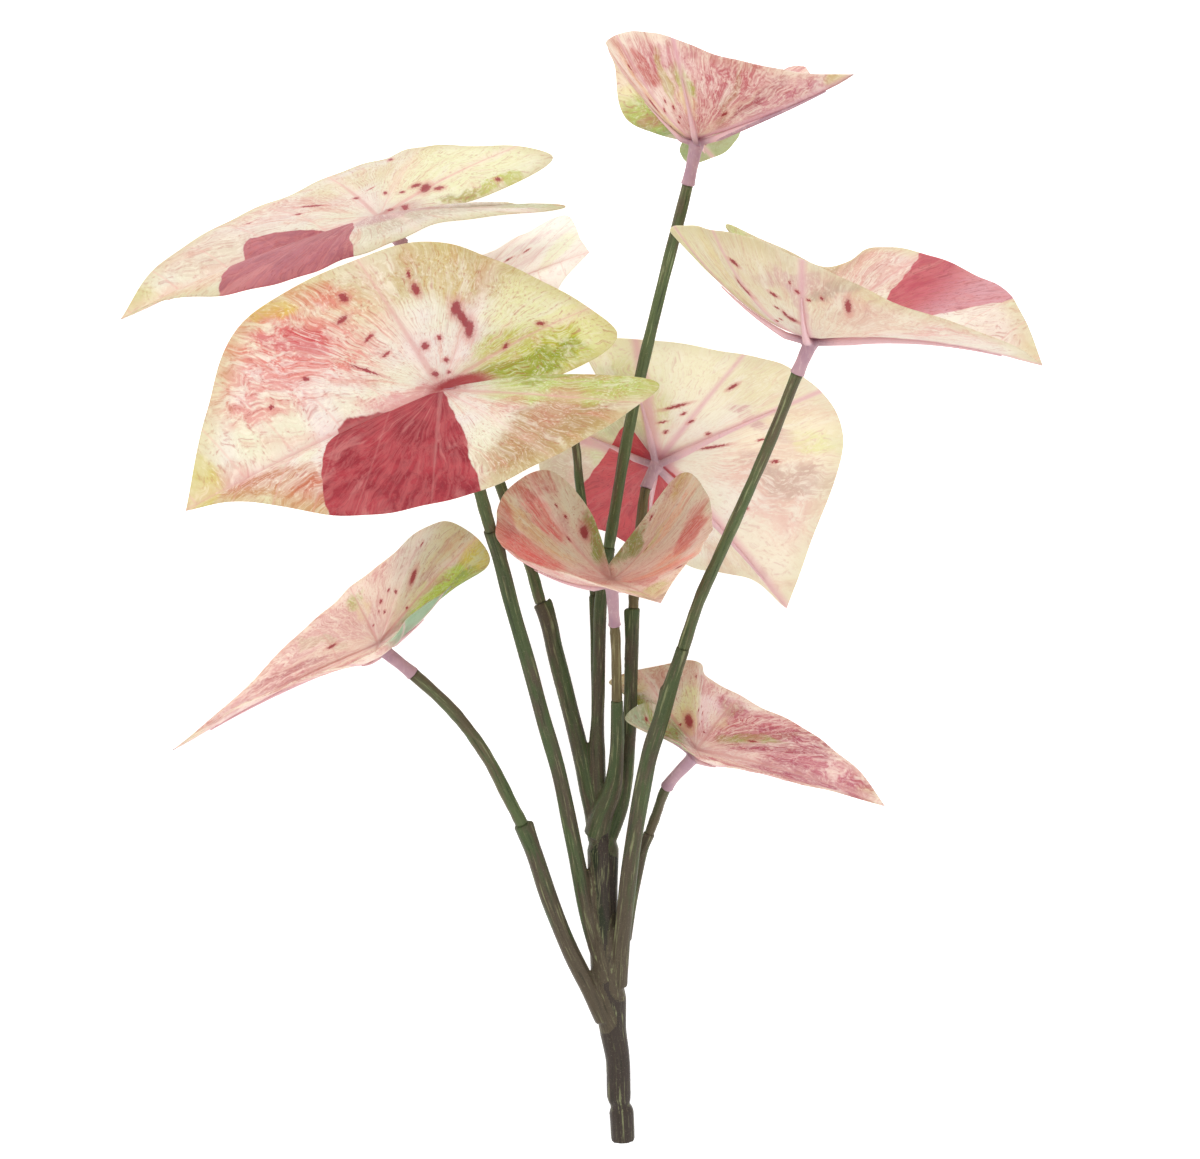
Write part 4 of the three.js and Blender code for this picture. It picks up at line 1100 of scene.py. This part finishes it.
def leaf_material(name, letter, leaf, patches, spots, flipped, paleness, tone_and_painted_light, tone_and_light_colour):
    """The printed blade: patches, streaks, a field, spots and veins on mould coordinates."""
    g = Graph(name)
    large = leaf["scale"] == 1
    mould = g.attribute("mould", "Vector")
    under = g.attribute("under", "Fac")
    over = g.less(1, under)
    x, y, share = g.separate(mould)
    side = g.math("ABSOLUTE", y)
    print_place = g.combine(x, g.times(y, -1 if flipped else 1), 0)
    seed = ord(letter)
    seeded = g.vector_math("ADD", print_place, (0, 0, seed))
    slow = g.noise_vector(seeded, 0.045, 2)
    fast = g.noise_vector(seeded, 0.3, 4, 0.65)
    tight = g.noise_vector(seeded, 0.9, 3, 0.6)
    soft_place = g.moved(g.moved(print_place, slow, 20), fast, 6)
    crisp_place = g.moved(print_place, fast, 1.2)
    spot_place = g.moved(print_place, tight, 3)

    # Streaks run out from the hub.
    turn = g.math("ARCTAN2", y, x)
    distance = g.vector_math("LENGTH", g.scaled(mould, 1, 1, 0))
    streak_place = g.moved(g.combine(g.times(turn, 24), g.times(distance, 0.1), seed), slow, 5)
    streaks = g.noise(streak_place, 0.8, 5, 0.65, 0.3)
    fine_streaks = g.noise(streak_place, 2.6, 3, 0.6, 0.2)
    broken = g.ramp(g.add(streaks, g.times(fine_streaks, 0.4)), 0.60, 0.80)
    mottle = g.noise(seeded, 0.5, 5, 0.7)
    specks = g.noise(seeded, 2.6, 3, 0.6)
    blush = g.noise(streak_place, 0.3, 3, 0.6, 0.4)

    paper = ("#EFE7E3", "#ECEAD4") if large else ("#F8E8E0", "#F2DCD0")
    colour = g.mix(g.ramp(g.noise(seeded, 0.03), 0.35, 0.65), *paper)
    veils = {}
    for px, py, rx, ry, angle, paint, strength, streaky in patches:
        if streaky not in veils:
            veils[streaky] = g.add(g.times(broken, streaky), 1 - streaky)
        inside = g.ramp(g.ellipse(soft_place, px, py, rx, ry, angle), 0.6, 1.15, strength, 0)
        colour = g.mix(g.times(inside, veils[streaky]), colour, paint)

    # Blushes and thin streaks over the whole print, and the uneven grain of the ink. The underside
    # shows the same print, paler, and some leaves are paler all over, partly in their own tone and partly
    # as painted light.
    colour = g.stained(
        colour,
        (blush, 0.52, 0.72, 0.5, "#DF9A86" if large else "#C9586A"),
        (blush, 0.46, 0.30, 0.5, "#F8F5EA"),
        (fine_streaks, 0.53, 0.69, 0.5 if large else 0.62, "#BE5852"),
        (fine_streaks, 0.46, 0.35, 0.45 if large else 0.35, "#FFFAEC"),
        (streaks, 0.44, 0.28, 0.5, "#FFFAEC"),
        (mottle, 0.53, 0.72, 0.4, "#C98E68"),
        (mottle, 0.47, 0.32, 0.4, "#FFFBEE"),
        (share, 0.86, 1.0, 0.4 if large else 0.15, "#D2C47E"),
    )
    colour = g.mix(g.times(under, paleness), colour, "#FBF5E6")
    # Over the whole leaf lies a pale tone, partly the leaf's own and partly painted light on leaves in
    # shade and a painted sheen on leaf b.
    colour = g.mix(tone_and_painted_light, colour, tone_and_light_colour)
    if not large:
        near_sinus = g.ramp(y, -10, 0) if letter == "a" else 1
        lobe = g.times(g.times(g.ramp(x, -4, -26, 0, 0.75), under), near_sinus)
        colour = g.mix(lobe, colour, "#7AB48A" if letter == "h" else "#A3C078")

    nearest, vein = vein_lines(g, x, side, share)
    colour = g.stained(colour, (nearest, 7, 0.6, 0.3, "#FAEBDD"))
    colour = g.mix(g.times(g.times(vein, over), 0.5), colour, "#E9B4AC")
    colour = g.mix(g.times(under, g.ramp(nearest, 4.5, 0.8, 0, 0.7)), colour, "#E9BCC8")

    if large:
        shift, slant, lean, strength, fade, ink, deep_ink = FIELDS[letter]
        field_place = g.vector_math("ADD", g.moved(crisp_place, slow, 9), (shift, 0, 0))
        along_field, inside = field_cover(g, field_place, slant, lean)
        ink = g.mix(g.ramp(g.noise(seeded, 0.07, 3, 0.6), 0.38, 0.62), ink, deep_ink)
        ink = g.stained(ink, (along_field, 8, 42, fade, "#DFB4BE"))
        ink = g.mix(g.times(broken, 0.4), ink, "#D98482")
        ink = g.stained(ink, (mottle, 0.50, 0.70, 0.5, "#CC6464"), (blush, 0.54, 0.68, 0.45, "#E0A09A"))
        # Below, the field is lighter and pinker: partly the underside's paler print and partly painted
        # light shining through the blade.
        ink = g.mix(g.times(under, 0.5), ink, "#E06672")
        ink = g.stained(ink, (fine_streaks, 0.52, 0.66, 0.35, "#8E2434"))
        ink = g.mix(g.times(vein, 0.35), ink, "#E2A09A")
        colour = g.mix(g.times(inside, strength), colour, ink)

    spot = None
    for shape in spots:
        reach = g.ellipse(spot_place, *shape)
        spot = reach if spot is None else g.math("MINIMUM", spot, reach)
    spot_ink = g.mix(mottle, "#98263A", "#BC4A50")
    colour = g.stained(colour, (spot, 1.9, 0.9, 0.4, "#DD9088"), (spot, 1.05, 0.5, 0.88, spot_ink))

    # Red ink gathers at the hub on top, and the hub's shade and lilac show below.
    red = g.ramp(g.ellipse(spot_place, *HUB_RED), 1.25, 0.5, 0, 0.9 if letter == "d" else 0.3)
    colour = g.mix(g.times(red, over), colour, "#AE3038")
    dark_hub = g.ramp(distance, 15 if large else 12, 3, 0, 0.5)
    colour = g.mix(g.times(under, dark_hub), colour, "#B4708C")

    height = g.add(g.add(g.times(vein, -0.5), g.times(mottle, 0.25)), g.times(specks, 0.1))
    normal = g.bump(height, 0.35, 0.0006)
    roughness = g.ramp(mottle, 0.3, 0.7, 0.42, 0.56)
    return g.surface(colour, roughness, normal, translucent=0.4, specular=0.3)


def stem_material(name, green, brown, fibre_and_highlight):
    """Moulded plastic with colour that runs along the stem and fine grooves."""
    g = Graph(name)
    place = g.attribute("stem", "Vector")
    across, height_up, _ = g.separate(place)
    slow = g.noise(g.scaled(place, 0.12, 0.028, 0.12), 1, 3, 0.6)
    fine = g.noise(g.scaled(place, 0.9, 0.05, 0.9), 1, 4, 0.65)
    grain = g.noise(place, 1.6, 3, 0.6)

    # The trunk, which has no shift, is darker than its branches as painted shade, for it runs in between
    # them, and the lower end is browner.
    beyond_trunk = g.ramp(across, STEM_SHIFT + 1, 2 * STEM_SHIFT)
    green = g.mix(beyond_trunk, "#2A301F", green)
    brown = g.mix(beyond_trunk, "#3E352F", brown)
    low = g.ramp(height_up, -130, -200, 0, 0.4)
    mixture = g.add(g.add(slow, g.times(fine, 0.25)), low)
    # The light and dark fine streaks are partly the plastic's own fibres and partly painted highlights and
    # painted shade along the stems.
    colour = g.stained(
        g.mix(g.ramp(mixture, 0.55, 0.75), green, brown),
        (fine, 0.54, 0.70, 0.7, fibre_and_highlight),
        (fine, 0.46, 0.30, 0.6, "#24261A"),
        (grain, 0.56, 0.75, 0.22, "#A39C80"),
    )
    normal = g.bump(g.add(g.times(fine, 0.8), g.times(grain, 0.2)), 0.5, 0.0006)
    return g.surface(colour, g.ramp(fine, 0.3, 0.7, 0.4, 0.56), normal, specular=0.16)


def rib_material(name):
    """Lilac at the socket and the hub, and pale pink out along the ribs, partly their own colour and partly
    painted light.
    """
    g = Graph(name)
    place = g.scaled(g.nodes.new("ShaderNodeTexCoord").outputs["Object"], 1 / MM, 1 / MM, 1 / MM)
    broad = g.noise(place, 0.09)
    fine = g.noise(g.scaled(place, 1, 0.25, 1), 0.8, 4, 0.6)
    socket = g.mix(g.ramp(broad, 0.35, 0.65), "#CAA4AD", "#BA94A2")
    # Out along the ribs the colour turns pale pink: partly the ribs' own colour, partly painted light where
    # they face away from the lamps.
    colour = g.stained(
        socket,
        (g.attribute("outward", "Fac"), 0.08, 0.4, 1, "#F0CBCE"),
        (fine, 0.52, 0.72, 0.4, "#EBD4D2"),
        (fine, 0.42, 0.28, 0.2, "#B58C99"),
    )
    normal = g.bump(fine, 0.35, 0.0005)
    roughness = g.ramp(fine, 0.3, 0.7, 0.38, 0.52)
    return g.surface(colour, roughness, normal, translucent=0.25, coat=0.1, specular=0.4)


# --- The pieces -------------------------------------------------------------------------------------

BROWN_PETIOLES = "fg"

trunk_look = stem_material("moulded_trunk", "#4A5636", "#52483A", "#8A8E66")
green_petiole_look = stem_material("moulded_petiole", "#55613E", "#5E5440", "#98A074")
brown_petiole_look = stem_material("moulded_petiole_brown", "#665A3C", "#6E5A42", "#958E68")
rib_look = rib_material("moulded_ribs")


def settle(piece, node):
    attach(piece, "root")
    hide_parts(node)


settle(trunk_object("trunk_moulding", trunk_look), "trunk")
for number, (letter, leaf) in enumerate(LEAVES.items()):
    look = leaf_material("printed_leaf_" + letter, letter, leaf, *PRINTS[letter])
    settle(blade_object("blade_" + letter, leaf, look, number), "leaf_" + letter)
    settle(ribs_object("rib_web_" + letter, leaf, rib_look), "ribs_" + letter)
    petiole_look = brown_petiole_look if letter in BROWN_PETIOLES else green_petiole_look
    settle(petiole_object("sleeve_" + letter, leaf, petiole_look, number), "petiole_" + letter)


# --- Floor, light and camera ------------------------------------------------------------------------

# The floor glows a little, as a light table does, so that the leaves cast hardly any shadow.
FLOOR_REACH = 12  # in metres
FLOOR_GLOW = 0.5
WORLD_GLOW = 0.9

floor_mesh = bpy.data.meshes.new("floor")
corners = [(x * FLOOR_REACH, y * FLOOR_REACH, 0) for x, y in ((-1, -1), (1, -1), (1, 1), (-1, 1))]
floor_mesh.from_pydata(corners, [], [(0, 1, 2, 3)])
floor = linked("floor", floor_mesh)
floor_graph = Graph("floor_paper")
floor_place = floor_graph.nodes.new("ShaderNodeTexCoord").outputs["Object"]
floor_colour = floor_graph.mix(floor_graph.noise(floor_place, 90, 3), "#FAFAFA", "#FDFDFD")
floor_mesh.materials.append(floor_graph.surface(floor_colour, 0.9, specular=0.1, glow=FLOOR_GLOW))

world = bpy.data.worlds.new("studio")
world.use_nodes = True
background = world.node_tree.nodes["Background"]
background.inputs["Color"].default_value = (1, 1, 1, 1)
background.inputs["Strength"].default_value = WORLD_GLOW
bpy.context.scene.world = world


def soft_light(name, place, size, power):
    """A round soft light that points at the middle of the floor."""
    light = bpy.data.lights.new(name, "AREA")
    light.shape = "DISK"
    light.size = size
    light.energy = power
    lamp = linked(name, light)
    lamp.location = place
    lamp.rotation_euler = (-Vector(place)).to_track_quat("-Z", "Y").to_euler()


soft_light("key", (-1.3, 1.6, 2.4), 1.8, 28)
soft_light("fill", (1.2, -1.4, 2.2), 2.0, 14)

# The camera looks straight down. In the plane that runs through the leaves at PICTURE_PLANE, the
# picture is PICTURE_WIDTH across, and its middle is at PICTURE_MIDDLE. All are in millimetres.
CAMERA_DISTANCE = 5000
PICTURE_WIDTH = 540
PICTURE_PLANE = 110
PICTURE_MIDDLE = (10.7, 7.1)
SENSOR_WIDTH = 36

camera_data = bpy.data.cameras.new("camera")
camera_data.sensor_fit = "HORIZONTAL"
camera_data.sensor_width = SENSOR_WIDTH
camera_data.lens = SENSOR_WIDTH * CAMERA_DISTANCE / PICTURE_WIDTH
camera_data.clip_end = 40
camera = linked("camera", camera_data)
camera.location = [v * MM for v in (*PICTURE_MIDDLE, PICTURE_PLANE + CAMERA_DISTANCE)]
bpy.context.scene.camera = camera

bpy.context.scene.view_settings.view_transform = "Standard"
